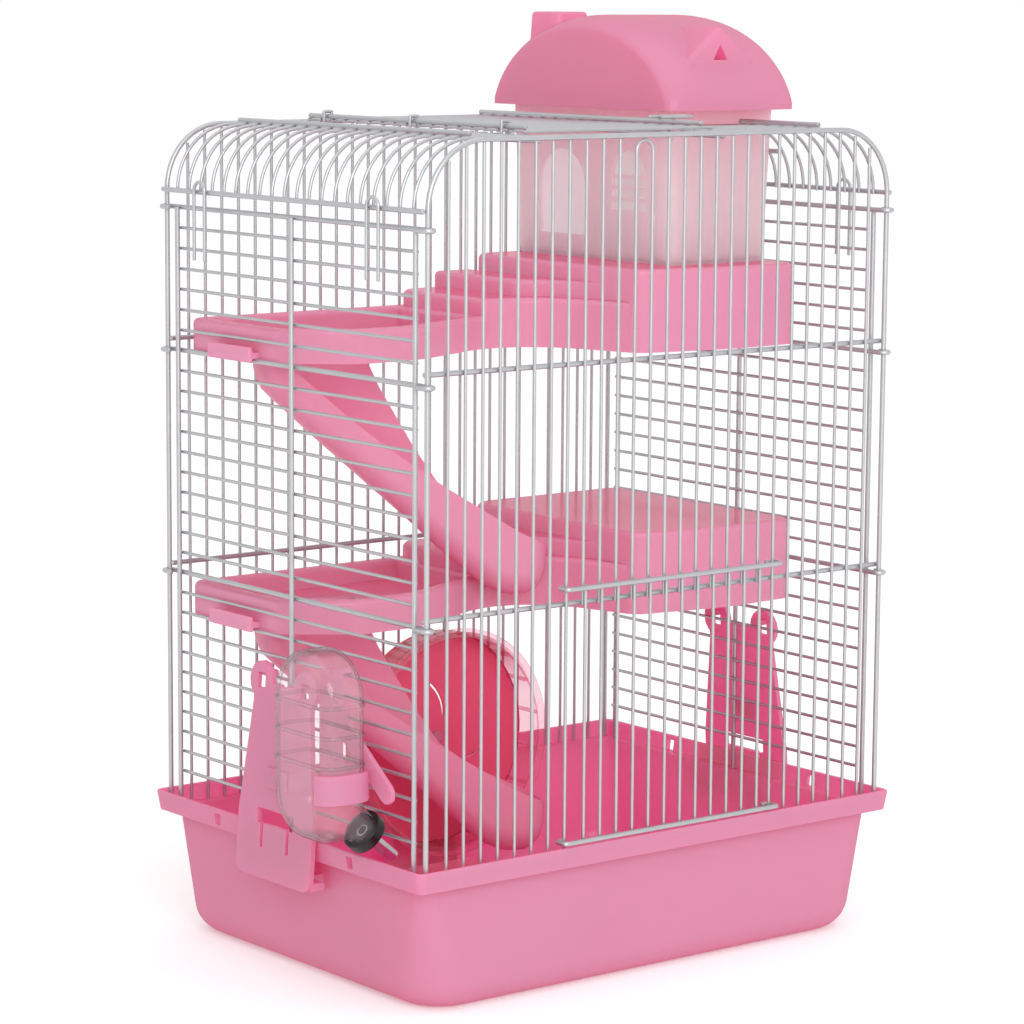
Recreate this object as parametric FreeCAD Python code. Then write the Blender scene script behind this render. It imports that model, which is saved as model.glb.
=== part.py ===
import FreeCAD, Part
import math
import os

os.makedirs("parts", exist_ok=True)
V = FreeCAD.Vector

# Small rodent cage: a moulded tray, a wire top with a slide-up door and a roof hatch, two moulded
# shelves with slides, a roof house, an exercise wheel, a water bottle and two side latches.
# Origin at the centre of the tray's underside, X along the front, Y to the back, Z up. Millimetres.

# Tray
rim_x = 360.0
rim_y = 270.0
rim_z = 86.0
rim_corner = 4.0
skirt_height = 12.3
skirt_draft = 1.5
base_inset_x = 12.0
base_inset_y = 8.25
base_corner = 32.0
base_edge = 16.0
throat_inset = 9.5
throat_corner = 8.0
tray_wall = 2.5
latch_hole_y = 67.0
latch_hole_w = 6.0
latch_hole_h = 7.0
latch_hole_drop = 1.5

# Wire frame
thick = 1.5
thin = 1.0
thick_sides = 8
thin_sides = 6
post_inset_x = 8.35
post_inset_y = 5.8
arch_rise = 403.0
arch_bend = 38.0
bend_chords = 4
loop_chords = 1
corner_chords = 3
round_chords = 4
small_chords = 2
edge_chords = 3
vault_chords = 11
full_round = 0.98
upright_count = 27
upright_span = 314.4
bar_low_rise = 139.8
bar_high_rise = 275.9
bar_overhang = 0.3
side_top_rise = 354.6
side_pitch = 12.2
side_wires = 29
side_thick = (0, 7, 18)
side_post_inset = 11.0
side_nub = 1.7
loop_tail = 10.0
hairpin_wires = (11, 12)
hairpin_drop = 1.3

# Front door
door_guides = (7, 20)
door_uprights = 12
door_gap = 0.4
door_bottom_rise = 2.2
door_lap = 9.2
door_hook = 3.0

# Roof wires and hatch
roof_wires = 22
roof_end_rise = 364.9
hatch_left = -85.0
hatch_right = 45.0
hatch_lap = 9.0
roof_frame_x = 52.0
house_bar_x = 73.0
house_bar_angle = 37.0
roof_rod_x = 130.5
roof_rod_inset = 16.2
house_first = 7
house_last = 20
hatch_first = 2
hatch_hook_wire = 4
seat_gap = 0.3
eye_lean = 0.3
eye_places = (3, 10, 17)
clip_y = 86.0
clip_half = 5.5
clip_rise = 6.0
clip_length = 46.0

# Shelves
shelf_gap = 0.65
shelf_wall = 2.0
shelf_back_gap = 14.2
shelf_heights = (20.0, 30.0, 40.0, 50.0)
shelf_drop = 0.2
shelf_wires = (7, 20)
step_x = (-14.0, 16.0, 45.0)
step_round = 14.0
shelf_corner = 8.0
shelf_left_y = 24.0
shelf_left_round = 10.0
bay_x0 = -128.0
bay_x1 = -84.0
bay_y = -6.0
bay_round = 20.0
bay_bend = 40.0
recess_x = 20.0
recess_y = 41.6
recess_round = 44.0
nose_x = 46.0
nose_y = -50.0
nose_round = 12.0
bow_x = 110.0
bow_y = -61.5
bow_round = 80.0
shelf_right_y = -58.0
shelf_right_round = 9.0
terrace_y0 = 34.0
terrace_round = 9.0
terrace_x1 = 30.0
terrace_y1 = 20.0
terrace_bend = 14.0
terrace_y2 = -16.0
basin_lip = 9.0
basin_floor = 8.0
tongue_y0 = 40.0
tongue_y1 = 84.0
tongue_thick = 3.5
lip_low = -0.5
lip_high = 8.5
lip_thick = 2.5

# Slides
slide_x = -160.0
slide_back_gap = 70.0
slide_turn = 22.0
slide_width = 40.0
slide_length = 178.0
slide_wall = 2.0
slide_knee_drop = 17.0
slide_floor_s = 141.0
slide_floor_drop = 147.5
slide_neck = 64.0
slide_neck_round = 8.0
slide_edge = 9.0
scoop_drop = 118.0
lip_s = 13.0
lip_drop = 2.0
near_s = 61.0
near_drop = 45.0
far_s = 117.0
far_drop = 86.0
collar_width = 4.0
collar_thick = 2.0
collar_gap = 0.4

# House on the upper shelf
house_x0 = 77.5
house_x1 = 160.0
house_wire_gap = 2.066667
house_back_gap = 1.5
house_height = 95.0
house_draft = 3.0
house_corner = 4.0
house_wall = 2.0
door_arch_y = 65.0
door_arch_r = 22.5
door_arch_low = 14.0
door_arch_spring = 44.5
pane_y = 0.0
pane_r = 16.0
pane_low = 31.5
pane_spring = 52.0
louvre_count = 3
louvre_thick = 2.5
roof_over_x0 = 11.5
roof_over_x1 = 8.0
roof_over_y0 = 15.0
roof_over_y1 = 11.5
roof_skirt = 5.0
roof_lap = 1.5
roof_crown = 51.3
roof_round_x = 14.0
roof_round_in = 9.0
roof_wall = 2.0
roof_rib = 2.0
roof_rib_inset = 4.0
chimney_x = 101.5
chimney_y = 95.5
chimney_side = 29.0
chimney_top = 1.2
chimney_round = 2.0
dormer_x = 121.0
dormer_y = -30.0
dormer_half = 26.0
dormer_depth = 50.0
dormer_base = 18.0
dormer_top = 46.0
dormer_hole = 5.5
dormer_hole_drop = 2.0

# Exercise wheel
wheel_x = -5.0
wheel_z = 105.0
wheel_inset_y = 74.0
wheel_depth = 22.0
wheel_ring = 72.0
wheel_ring_width = 6.0
wheel_ring_thick = 2.0
wheel_taper = 1.0
wheel_wall = 1.6
wheel_disc_thick = 2.0
wheel_rungs = 18
wheel_sides = 24
rung_side = 1.8
wheel_hub = 9.0
wheel_hub_length = 8.0
slot_inner = 13.0
slot_outer = 38.0
slot_start = 62.0
slot_sweep = 40.0
slot_width = 2.4
slot_count = 3
axle_radius = 2.5
axle_gap = 0.05
axle_end_gap = 0.3
axle_head = 4.0
axle_head_thick = 2.0
stand_gap = 1.0
stand_thick = 5.0
stand_foot_x = 84.0
stand_foot_y = 46.0
stand_foot_thick = 4.0
stand_low = 30.0
stand_high = 11.0

# Side latches
latch_thick = 3.0
latch_gap = 1.3
latch_lean = 4.3
latch_low_z = 56.0
latch_wide_rise = 37.0
latch_waist_rise = 102.0
latch_ear_rise = 115.0
latch_wide = 37.5
latch_waist = 28.8
latch_round = 6.0
latch_shoulder = 12.0
latch_ear_y = 22.0
latch_ear_r = 11.5
latch_notch = 6.0
latch_notch_depth = 13.0
latch_eye_y = 8.0
latch_eye_z = 9.0
latch_window_y = 36.0
latch_window_z = 9.0
latch_window_rise = 36.5
tongue_half = 11.5
tongue_slot = 3.0
tongue_length = 14.0
latch_pin_r = 2.4
latch_pin_z = 59.5
latch_pin_inset = 2.5
lug_gap = 0.25
lug_wall = 2.2
lug_y = 26.0
lug_width = 7.0
lug_clear = 0.5
nib_half = 4.0
nib_thick = 3.0
nib_wire = 22
nib_reach = 0.6

# Water bottle and its holder
bottle_x = -198.0
bottle_z = 97.0
bottle_thick = 30.0
bottle_width = 55.0
bottle_height = 108.0
bottle_corner = 14.0
bottle_heel = 26.0
bottle_edge = 9.0
bottle_wall = 1.5
round_sides = 16
ball_sides = 10
neck_off_y = -17.0
neck_x = -186.0
neck_tilt = 40.0
neck_radius = 10.0
neck_length = 10.7
neck_root = 10.0
cap_radius = 12.4
cap_length = 7.0
cap_wall = 1.6
cap_gap = 0.1
tube_radius = 3.6
tube_wall = 0.5
tube_length = 28.0
tube_inset = 4.0
ball_gap = 0.15
crimp = 0.5
rail_off_y = 11.0
rail_width = 11.0
holder_gap = 0.4
holder_thick = 3.0
holder_low = 110.0
holder_hook_wire = 21
band_low = 121.0
band_high = 138.0
band_thick = 2.4
band_round = 9.4
band_off_y = -19.0
arm_start_z = 166.0
arm_off_y = -41.0
arm_end_z = 127.0
arm_width = 12.0

# Clear food box
box_x = -104.0
box_inset_y = 69.0
box_length = 76.0
box_width = 62.0
box_height = 58.0
box_draft = 4.0
box_corner = 10.0
box_wall = 1.8
floor_gap = 0.2

# Places worked out from the sizes above
base_x = rim_x - 2 * base_inset_x
base_y = rim_y - 2 * base_inset_y
ledge_z = rim_z - skirt_height + tray_wall
post_x = rim_x / 2 - post_inset_x
post_y = rim_y / 2 - post_inset_y
side_post_y = post_y - side_post_inset
roof_rod_y = post_y - roof_rod_inset
shelf_back = post_y - shelf_back_gap
house_y1 = shelf_back - house_back_gap
slide_y = shelf_back - slide_back_gap
wheel_front_y = rim_y / 2 - wheel_inset_y
bottle_y = -latch_wide - bottle_width / 2
neck_y = bottle_y + neck_off_y
holder_y0 = bottle_y + rail_off_y
holder_y1 = holder_y0 + rail_width
band_end = bottle_y + band_off_y
arm_end_y = bottle_y + arm_off_y
box_y = box_inset_y - rim_y / 2
arch_z = rim_z + arch_rise
thin_reach = thin / math.cos(math.pi / thin_sides)
bar_low_z = rim_z + bar_low_rise
bar_high_z = rim_z + bar_high_rise
side_top_z = rim_z + side_top_rise
roof_end_z = rim_z + roof_end_rise
upright_pitch = upright_span / (upright_count - 1)
upright_y = post_y - thick + thin
roof_pitch = 2 * post_y / (roof_wires - 1)
house_y0 = house_first * roof_pitch - post_y + house_wire_gap
side_wire_x = post_x - thick - thin
side_bar_x = post_x - 2 * thick
end_bar_x = post_x + 2 * thick
tail_x = end_bar_x - thick - thin
roof_bar_z = arch_z - thin - thick
hatch_wire_z = arch_z + 2 * thin + seat_gap
hatch_bar_z = hatch_wire_z + thin + thick
shelf_edge = side_bar_x - thick - shelf_gap


def upright_x(index):
    return (index - (upright_count - 1) / 2) * upright_pitch


def roof_y(index):
    return -post_y + index * roof_pitch


def side_z(index):
    return side_top_z - index * side_pitch


def side_top(index):
    """The height of the top of a side wire."""
    return side_z(index) + (thick if index in side_thick else thin_reach)


shelf_z = tuple(side_z(index) - shelf_drop for index in shelf_wires)
tube_cross_z = (side_z(side_wires - 1) - thin + rim_z) / 2
neck_z = tube_cross_z - (side_wire_x + neck_x) * math.tan(math.radians(neck_tilt))
plateau_z = shelf_z[0] + shelf_heights[-1]
house_top_z = plateau_z + house_height


def solid_of(faces):
    solid = Part.Solid(Part.Shell(faces))
    if solid.Volume < 0:
        solid.reverse()
    return solid


def flat_face(points):
    return Part.Face(Part.makePolygon(points + points[:1]))


def stack(rings):
    """The solid between rings of points whose like sides are parallel, closed at both ends."""
    faces = [flat_face(ring) for ring in (rings[0], rings[-1])]
    count = len(rings[0])
    for low, high in zip(rings, rings[1:]):
        for k in range(count):
            n = (k + 1) % count
            faces.append(flat_face([low[k], low[n], high[n], high[k]]))
    return solid_of(faces)


def turned(profile, sides):
    """A many-sided solid of revolution about Z from (radius, height) points of a closed profile."""
    def at(point, k):
        angle = 2 * math.pi * k / sides
        return V(point[0] * math.cos(angle), point[0] * math.sin(angle), point[1])
    faces = []
    for a, b in zip(profile, profile[1:] + profile[:1]):
        if a[0] == 0 and b[0] == 0:
            continue
        for k in range(sides):
            corners = [at(a, k), at(b, k), at(b, k + 1), at(a, k + 1)]
            if a[0] == 0:
                corners = corners[:3]
            if b[0] == 0:
                corners = [corners[0], corners[1], corners[3]]
            faces.append(flat_face(corners))
    return solid_of(faces)


def wire_points(points, bend, chords):
    """The points of a bent wire, with each corner turned in straight chords around its bend circle."""
    route = [points[0]]
    for before, corner, after in zip(points, points[1:], points[2:]):
        inward = (before - corner).normalize()
        outward = (after - corner).normalize()
        turn = math.pi - inward.getAngle(outward)
        step = turn / chords
        reach = bend * math.tan(turn / 2)
        start = corner + inward * reach
        ahead = inward * -1
        middle = (inward + outward).normalize()
        across = (middle - ahead * middle.dot(ahead)).normalize()
        centre = start + across * bend
        radius = bend / math.cos(step / 2)
        for chord in range(chords):
            angle = (chord + 0.5) * step
            route.append(centre + ahead * (radius * math.sin(angle)) - across * (radius * math.cos(angle)))
    route.append(points[-1])
    return route


def rod(points, radius, bend=0.0, chords=loop_chords, flat=None):
    """A wire of many-sided section through the points; flat is a direction its sides face."""
    sides = thick_sides if radius == thick else thin_sides
    route = wire_points(points, bend, chords) if bend else points
    runs = [(b - a).normalize() for a, b in zip(route, route[1:])]
    normal = runs[0].cross(runs[-1])
    for run in runs[1:]:
        if normal.Length < 0.01:
            normal = runs[0].cross(run)
    if normal.Length < 0.01:
        normal = runs[0].cross(flat or (V(0, 0, 1) if abs(runs[0].z) < 0.9 else V(1, 0, 0)))
    normal.normalize()
    reach = radius / math.cos(math.pi / sides)
    spokes = [math.pi * (2 * k + 1) / sides for k in range(sides)]
    rings = []
    for index, place in enumerate(route):
        before = runs[max(index - 1, 0)]
        after = runs[min(index, len(runs) - 1)]
        along = (before + after).normalize()
        across = along.cross(normal) * (1 / along.dot(after))
        rings.append([place + across * (reach * math.cos(a)) + normal * (reach * math.sin(a)) for a in spokes])
    return stack(rings)


def outline(corners, inset=0.0):
    """A closed outline in the XY plane through (x, y, radius) corners turned in chords, drawn in by inset."""
    places = [V(x, y, 0) for x, y, radius in corners]
    count = len(corners)
    area = sum(a.x * b.y - a.y * b.x for a, b in zip(places, places[1:] + places[:1]))
    hand = math.copysign(1, area)
    points = []
    for index in range(count):
        radius = corners[index][2]
        ahead = (places[index] - places[index - 1]).normalize()
        after = (places[(index + 1) % count] - places[index]).normalize()
        turn = math.atan2(ahead.cross(after).z, ahead.dot(after))
        bend = max(radius - inset * math.copysign(1, turn * hand), 0) if radius else 0
        inward = (after - ahead).normalize()
        corner = places[index] + inward * (inset * hand * math.copysign(1, turn) / math.cos(turn / 2))
        centre = corner + inward * (bend / math.cos(turn / 2))
        chords = math.ceil(abs(turn) / (math.pi / 2) * corner_chords) if bend else 0
        start = corner - ahead * (bend * math.tan(abs(turn) / 2)) - centre
        for chord in range(chords + 1):
            angle = turn * chord / chords if chords else 0
            points.append(centre + V(start.x * math.cos(angle) - start.y * math.sin(angle),
                                     start.x * math.sin(angle) + start.y * math.cos(angle), 0))
    return Part.makePolygon(points + points[:1])


def circle(x, y, radius):
    spokes = [2 * math.pi * k / round_sides for k in range(round_sides + 1)]
    return Part.makePolygon([V(x + radius * math.cos(a), y + radius * math.sin(a), 0) for a in spokes])


def prism(wire, low, high):
    """The upright solid over a closed wire in the XY plane."""
    face = Part.Face(wire)
    face.translate(V(0, 0, low))
    return face.extrude(V(0, 0, high - low))


def block(x0, x1, y0, y1, z0, z1):
    return Part.makeBox(x1 - x0, y1 - y0, z1 - z0, V(x0, y0, z0))


def rectangle(x0, x1, y0, y1, radius):
    return outline([(x0, y0, radius), (x1, y0, radius), (x1, y1, radius), (x0, y1, radius)])


def ring(x0, x1, y0, y1, radius, z, chords):
    """The points of a level rectangle whose corners are turned in even chords."""
    points = []
    for quarter, (x, y) in enumerate(((x1, y1), (x0, y1), (x0, y0), (x1, y0))):
        across = radius if x == x0 else -radius
        along = radius if y == y0 else -radius
        for chord in range(chords + 1):
            angle = math.pi / 2 * (quarter + chord / chords)
            points.append(V(x + across + radius * math.cos(angle), y + along + radius * math.sin(angle), z))
    return points


def centred_ring(length, width, radius, z):
    return ring(-length / 2, length / 2, -width / 2, width / 2, radius, z, round_chords)


def to_side(shape, x):
    """Turns a plate drawn in XY so that it stands in the YZ plane at one X."""
    shape.Placement = FreeCAD.Placement(V(x, 0, 0), FreeCAD.Rotation(V(1, 1, 1), 120)) * shape.Placement
    return shape


def to_front(shape, y):
    """Turns a plate drawn in XY so that it stands in the XZ plane and ends at one Y."""
    shape.Placement = FreeCAD.Placement(V(0, y, 0), FreeCAD.Rotation(V(1, 0, 0), 90)) * shape.Placement
    return shape


def wheel_turned(profile, sides):
    """Turns (radius, y) points round the wheel's axis, which runs along Y."""
    solid = turned([(radius, -y) for radius, y in profile], sides)
    solid.Placement = FreeCAD.Placement(V(wheel_x, 0, wheel_z), FreeCAD.Rotation(V(1, 0, 0), 90))
    return solid


def hinge_x(sign):
    return sign * (rim_x / 2 - latch_pin_inset)


def tub_rings(inset, floor, top):
    """Rings from the tray's rounded floor edge up to its throat, drawn in by the wall's thickness."""
    skirt_z = rim_z - skirt_height
    edge = base_edge - inset
    rings = []

    def at(z, draw):
        share = z / skirt_z
        length = base_x + (rim_x - 2 * throat_inset - base_x) * share - 2 * (inset + draw)
        width = base_y + (rim_y - 2 * throat_inset - base_y) * share - 2 * (inset + draw)
        radius = base_corner + (throat_corner - base_corner) * share - inset
        return centred_ring(length, width, radius - draw, z)

    for step in range(edge_chords + 1):
        angle = math.pi / 2 * step / edge_chords
        rings.append(at(floor + edge * (1 - math.cos(angle)), edge * (1 - math.sin(angle))))
    return rings + [at(top, 0)]


def tray():
    skirt_z = rim_z - skirt_height
    body = stack(tub_rings(0, 0, skirt_z))
    twice = 2 * tray_wall
    draft = 2 * skirt_draft
    skirt = stack([centred_ring(rim_x - draft, rim_y - draft, rim_corner, skirt_z),
                   centred_ring(rim_x, rim_y, rim_corner, rim_z)])
    inside = stack(tub_rings(tray_wall, tray_wall, ledge_z + tray_wall))
    inner_corner = rim_corner - tray_wall
    pocket = stack([centred_ring(rim_x - twice - draft, rim_y - twice - draft, inner_corner, ledge_z),
                    centred_ring(rim_x - twice, rim_y - twice, inner_corner, rim_z + tray_wall)])
    shape = body.fuse(skirt).cut(inside).cut(pocket)
    low = (ledge_z + rim_z - latch_hole_h) / 2 - latch_hole_drop
    for y in (-latch_hole_y, latch_hole_y):
        hole = block(-rim_x, rim_x, y - latch_hole_w / 2, y + latch_hole_w / 2, low, low + latch_hole_h)
        shape = shape.cut(hole)
    for sign in (-1, 1):
        for y in (-lug_y, lug_y):
            shape = shape.fuse(latch_lug(sign, y).cut(body))
    return shape.removeSplitter()


def latch_lug(sign, y):
    """A hook under the tray's rim that a latch's pin snaps into from below."""
    x = hinge_x(1)
    outer = latch_pin_r + lug_gap + lug_wall
    nose = outer * full_round
    root = base_x / 2
    body = outline([(root, latch_pin_z - outer, 0), (x + outer, latch_pin_z - outer, nose),
                    (x + outer, latch_pin_z + outer, nose), (root, latch_pin_z + outer, 0)])
    bore = prism(circle(x, latch_pin_z, latch_pin_r + lug_gap), 0, lug_width)
    mouth = block(x - latch_pin_r, x + latch_pin_r, latch_pin_z - 2 * outer, latch_pin_z, 0, lug_width)
    lug = to_front(prism(body, 0, lug_width).cut([bore, mouth]), y + lug_width / 2)
    return lug if sign > 0 else lug.mirror(V(0, 0, 0), V(1, 0, 0))


def arch(y):
    corners = [(-post_x, ledge_z), (-post_x, arch_z), (post_x, arch_z), (post_x, ledge_z)]
    return rod([V(x, y, z) for x, z in corners], thick, arch_bend, bend_chords)


def upright_top(x):
    """The height at which an upright at x meets the underside of the arch."""
    past = abs(x) + thin - (post_x - arch_bend)
    inner = arch_bend - thick
    if past <= 0:
        return arch_z - thick
    return arch_z - arch_bend + math.sqrt(inner * inner - past * past)


def face_panel(sign, doorway):
    """The front or back wall of wire: an arch, its uprights and two level bars inside them."""
    y = sign * upright_y
    bar_y = sign * (post_y - 2 * thick)
    shapes = [arch(sign * post_y)]
    for index in range(upright_count):
        x = upright_x(index)
        cut = doorway and door_guides[0] < index < door_guides[1]
        low = bar_low_z - thick if cut else ledge_z
        if doorway and index in hairpin_wires:
            continue
        shapes.append(rod([V(x, y, low), V(x, y, upright_top(x))], thin, flat=V(0, 1, 0)))
    if doorway:
        first, last = (upright_x(index) for index in hairpin_wires)
        top = arch_z - thick - hairpin_drop
        low = bar_low_z - thick
        half = (last - first) / 2
        y = sign * (post_y - thick + thin_reach)
        path = [V(first, y, low), V(first, y, top), V(last, y, top), V(last, y, low)]
        shapes.append(rod(path, thin, half * full_round, small_chords))
    end = post_x + bar_overhang
    for z in (bar_low_z, bar_high_z):
        shapes.append(rod([V(-end, bar_y, z), V(end, bar_y, z)], thick))
    return Part.makeCompound(shapes)


def side_bar(sign, z):
    """A level bar inside a side's posts, with each end looped round a corner post."""
    inner = sign * side_bar_x
    outer = sign * end_bar_x
    end = post_y + 2 * thick
    tail = end - loop_tail
    path = [(outer, -tail), (outer, -end), (inner, -end), (inner, end), (outer, end), (outer, tail)]
    return rod([V(x, y, z) for x, y in path], thick, 2 * thick, loop_chords)


def side_panel(sign):
    shapes = [side_bar(sign, side_z(index)) for index in side_thick]
    end = side_post_y + side_nub
    for index in range(side_wires):
        if index not in side_thick:
            z = side_z(index)
            x = sign * side_wire_x
            shapes.append(rod([V(x, -end, z), V(x, end, z)], thin, flat=V(1, 0, 0)))
    for y in (-side_post_y, 0, side_post_y):
        x = sign * post_x
        shapes.append(rod([V(x, y, ledge_z), V(x, y, side_top_z + side_nub)], thick))
    return Part.makeCompound(shapes)


def roof_wire(y, left, right):
    """A roof wire from its left end to its right end; an end of None bends down to the side bar."""
    low = roof_end_z - thick
    points = [V(-tail_x, y, low), V(-tail_x, y, arch_z)] if left is None else [V(left, y, arch_z)]
    points += [V(tail_x, y, arch_z), V(tail_x, y, low)] if right is None else [V(right, y, arch_z)]
    bend = arch_bend if len(points) > 2 else 0.0
    return rod(points, thin, bend, bend_chords - 1, flat=V(0, 0, 1))


def roof_stub(y):
    """The short lower part of a roof wire that stops at the bar beside the house."""
    rise = math.radians(house_bar_angle)
    centre = V(tail_x - arch_bend, y, arch_z - arch_bend)
    low = V(tail_x, y, roof_end_z - thick)
    knee = centre + V(arch_bend, 0, arch_bend * math.tan(rise / 2))
    top = centre + V(math.cos(rise), 0, math.sin(rise)) * arch_bend
    return rod([low, knee, top], thin)


def hatch_eye(y):
    """A wire loop that holds the hatch's hinge bar to the roof bar under it."""
    side = thick + seat_gap + thin
    foot = thick + thin
    high = hatch_bar_z + side
    path = [(-foot, roof_bar_z), (-side, hatch_bar_z - side), (-side, high), (side, high),
            (side, hatch_bar_z - side), (foot, roof_bar_z)]
    return rod([V(hatch_left + x, y, z) for x, z in path], thin, eye_lean, 1)


def roof_panel():
    shapes = []
    for index in range(1, roof_wires - 1):
        y = roof_y(index)
        inside = house_first < index < house_last
        if index in (1, house_last):
            shapes.append(roof_wire(y, None, None))
            continue
        shapes.append(roof_wire(y, None, hatch_left + thick))
        if inside:
            shapes.append(roof_wire(y, roof_frame_x - thick, house_bar_x + thick))
            shapes.append(roof_stub(y))
        else:
            shapes.append(roof_wire(y, roof_frame_x - thick, None))
    low, high = roof_y(1) - side_nub, roof_y(house_last) + side_nub
    for x in (hatch_left, roof_frame_x):
        shapes.append(rod([V(x, low, roof_bar_z), V(x, high, roof_bar_z)], thick))
    front = roof_y(house_first) - side_nub
    shapes.append(rod([V(house_bar_x, front, roof_bar_z), V(house_bar_x, high, roof_bar_z)], thick))
    rise = math.radians(house_bar_angle)
    inner = arch_bend - thin - thick
    bar_x = tail_x - arch_bend + inner * math.cos(rise)
    bar_z = arch_z - arch_bend + inner * math.sin(rise)
    slope = V(-math.sin(rise), 0, math.cos(rise))
    shapes.append(rod([V(bar_x, front, bar_z), V(bar_x, high, bar_z)], thick, flat=slope))
    for sign in (-1, 1):
        x = sign * end_bar_x
        shapes.append(rod([V(x, -post_y, roof_end_z), V(x, post_y, roof_end_z)], thick))
    rod_z = arch_z + thin + thick
    shapes.append(rod([V(-roof_rod_x, -roof_rod_y, rod_z), V(-roof_rod_x, roof_rod_y, rod_z)], thick))
    front_end = roof_y(house_first) + side_nub
    shapes.append(rod([V(roof_rod_x, -roof_rod_y, rod_z), V(roof_rod_x, front_end, rod_z)], thick))
    for index in eye_places:
        shapes.append(hatch_eye(roof_y(index) + roof_pitch / 2))
    return Part.makeCompound(shapes)


def roof_clips():
    """Hairpin springs that hang from the roof's end bars over the tops of the side panels."""
    shapes = []
    for sign in (-1, 1):
        x = sign * (end_bar_x + thick + thin_reach)
        for y in (-clip_y, clip_y):
            top = roof_end_z + clip_rise
            path = [(y - clip_half, top - clip_length), (y - clip_half, top), (y + clip_half, top),
                    (y + clip_half, top - clip_length)]
            shapes.append(rod([V(x, py, pz) for py, pz in path], thin, clip_half * full_round, small_chords))
    return Part.makeCompound(shapes)


def door():
    """The slide-up door: uprights behind two bars whose ends hook round the guide wires."""
    left, right = (upright_x(index) for index in door_guides)
    back_y = -(upright_y + 2 * thin + door_gap)
    bar_y = back_y - thin - thick
    low = rim_z + door_bottom_rise
    high = bar_low_z + door_lap
    turn = thin + door_gap + thick
    hook_y = -(upright_y - turn)
    shapes = []
    for z in (low, high):
        path = [(left + door_hook, hook_y), (left - turn, hook_y), (left - turn, bar_y), (right + turn, bar_y),
                (right + turn, hook_y), (right - door_hook, hook_y)]
        shapes.append(rod([V(x, y, z) for x, y in path], thick, thick + seat_gap, loop_chords))
    pitch = (right - left) / (door_uprights + 1)
    for index in range(door_uprights):
        x = left + (index + 1) * pitch
        shapes.append(rod([V(x, back_y, low - thick), V(x, back_y, high + thick)], thin, flat=V(0, 1, 0)))
    return Part.makeCompound(shapes)


def hatch():
    """The roof hatch: level wires under a hinge bar and a closing bar."""
    shapes = []
    low, high = roof_y(hatch_first) - side_nub, roof_y(house_last - 1) + side_nub
    hinge_end = V(hatch_left, low, hatch_bar_z)
    shapes.append(Part.makeCylinder(thick, high - low, hinge_end, V(0, 1, 0)))
    shapes.append(rod([V(hatch_right, low, hatch_bar_z), V(hatch_right, high, hatch_bar_z)], thick))
    for index in range(hatch_first, house_last):
        y = roof_y(index)
        end = roof_frame_x + thick if index < house_first else hatch_right + hatch_lap
        shapes.append(rod([V(hatch_left - thick, y, hatch_wire_z), V(end, y, hatch_wire_z)], thin, flat=V(0, 0, 1)))
    return Part.makeCompound(shapes)


def hatch_latch():
    """The spring hook on the hatch's closing bar, with a finger loop that reaches past the roof bar."""
    y = roof_y(hatch_hook_wire) + roof_pitch / 2
    top = hatch_bar_z + thick + thin_reach
    near = y - roof_pitch / 2
    far = y + roof_pitch / 2
    tip = roof_frame_x + hatch_lap + thick
    path = [(hatch_right - hatch_lap, near), (tip, near), (tip, far), (hatch_right - hatch_lap, far)]
    return rod([V(px, py, top) for px, py in path], thin, roof_pitch / 2 * full_round, bend_chords - 1)


def shelf_plan(inset):
    """The shelf's outline from above, drawn in by an even inset."""
    edge = shelf_edge
    return outline([
        (-edge, shelf_back, shelf_corner), (-edge, shelf_left_y, shelf_left_round), (bay_x0, bay_y, bay_round),
        (bay_x1, bay_y, bay_bend), (recess_x, recess_y, recess_round), (nose_x, nose_y, nose_round),
        (bow_x, bow_y, bow_round), (edge, shelf_right_y, shelf_right_round), (edge, shelf_back, shelf_corner)],
        inset)


def shelf_mass(inset, drop):
    """The stepped block of a shelf, drawn in on its sides by inset and on its tops by drop."""
    plan = Part.Face(shelf_plan(inset))
    first, second, third = (x + inset for x in step_x)
    heights = [height - drop for height in shelf_heights]
    back = shelf_back - inset
    far = rim_x
    mass = plan.extrude(V(0, 0, heights[0]))
    for x, height in ((first, heights[1]), (third, heights[3])):
        area = outline([(x, back, step_round - inset), (x, -far, 0), (far, -far, 0), (far, back, 0)])
        mass = mass.fuse(plan.common(Part.Face(area)).extrude(V(0, 0, height)))
    terrace = outline([
        (second, back, 0), (second, terrace_y0 + inset, terrace_round), (terrace_x1 + inset, terrace_y1 + inset,
         terrace_bend), (third + 2 * inset, terrace_y2 + inset, 0), (third + 2 * inset, back, 0)])
    return mass.fuse(prism(terrace, 0, heights[2]))


def slide_place(shape, z):
    """Moves a piece drawn along the slide to the slide's place under a shelf."""
    shape.Placement = FreeCAD.Placement(V(slide_x, slide_y, z), FreeCAD.Rotation(V(0, 0, 1), -slide_turn))
    return shape


def neck_plan(grow):
    return outline([(0, 0, slide_neck_round), (slide_neck, 0, slide_neck_round),
                    (slide_neck, slide_width, slide_neck_round), (0, slide_width, slide_neck_round)], -grow)


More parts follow.
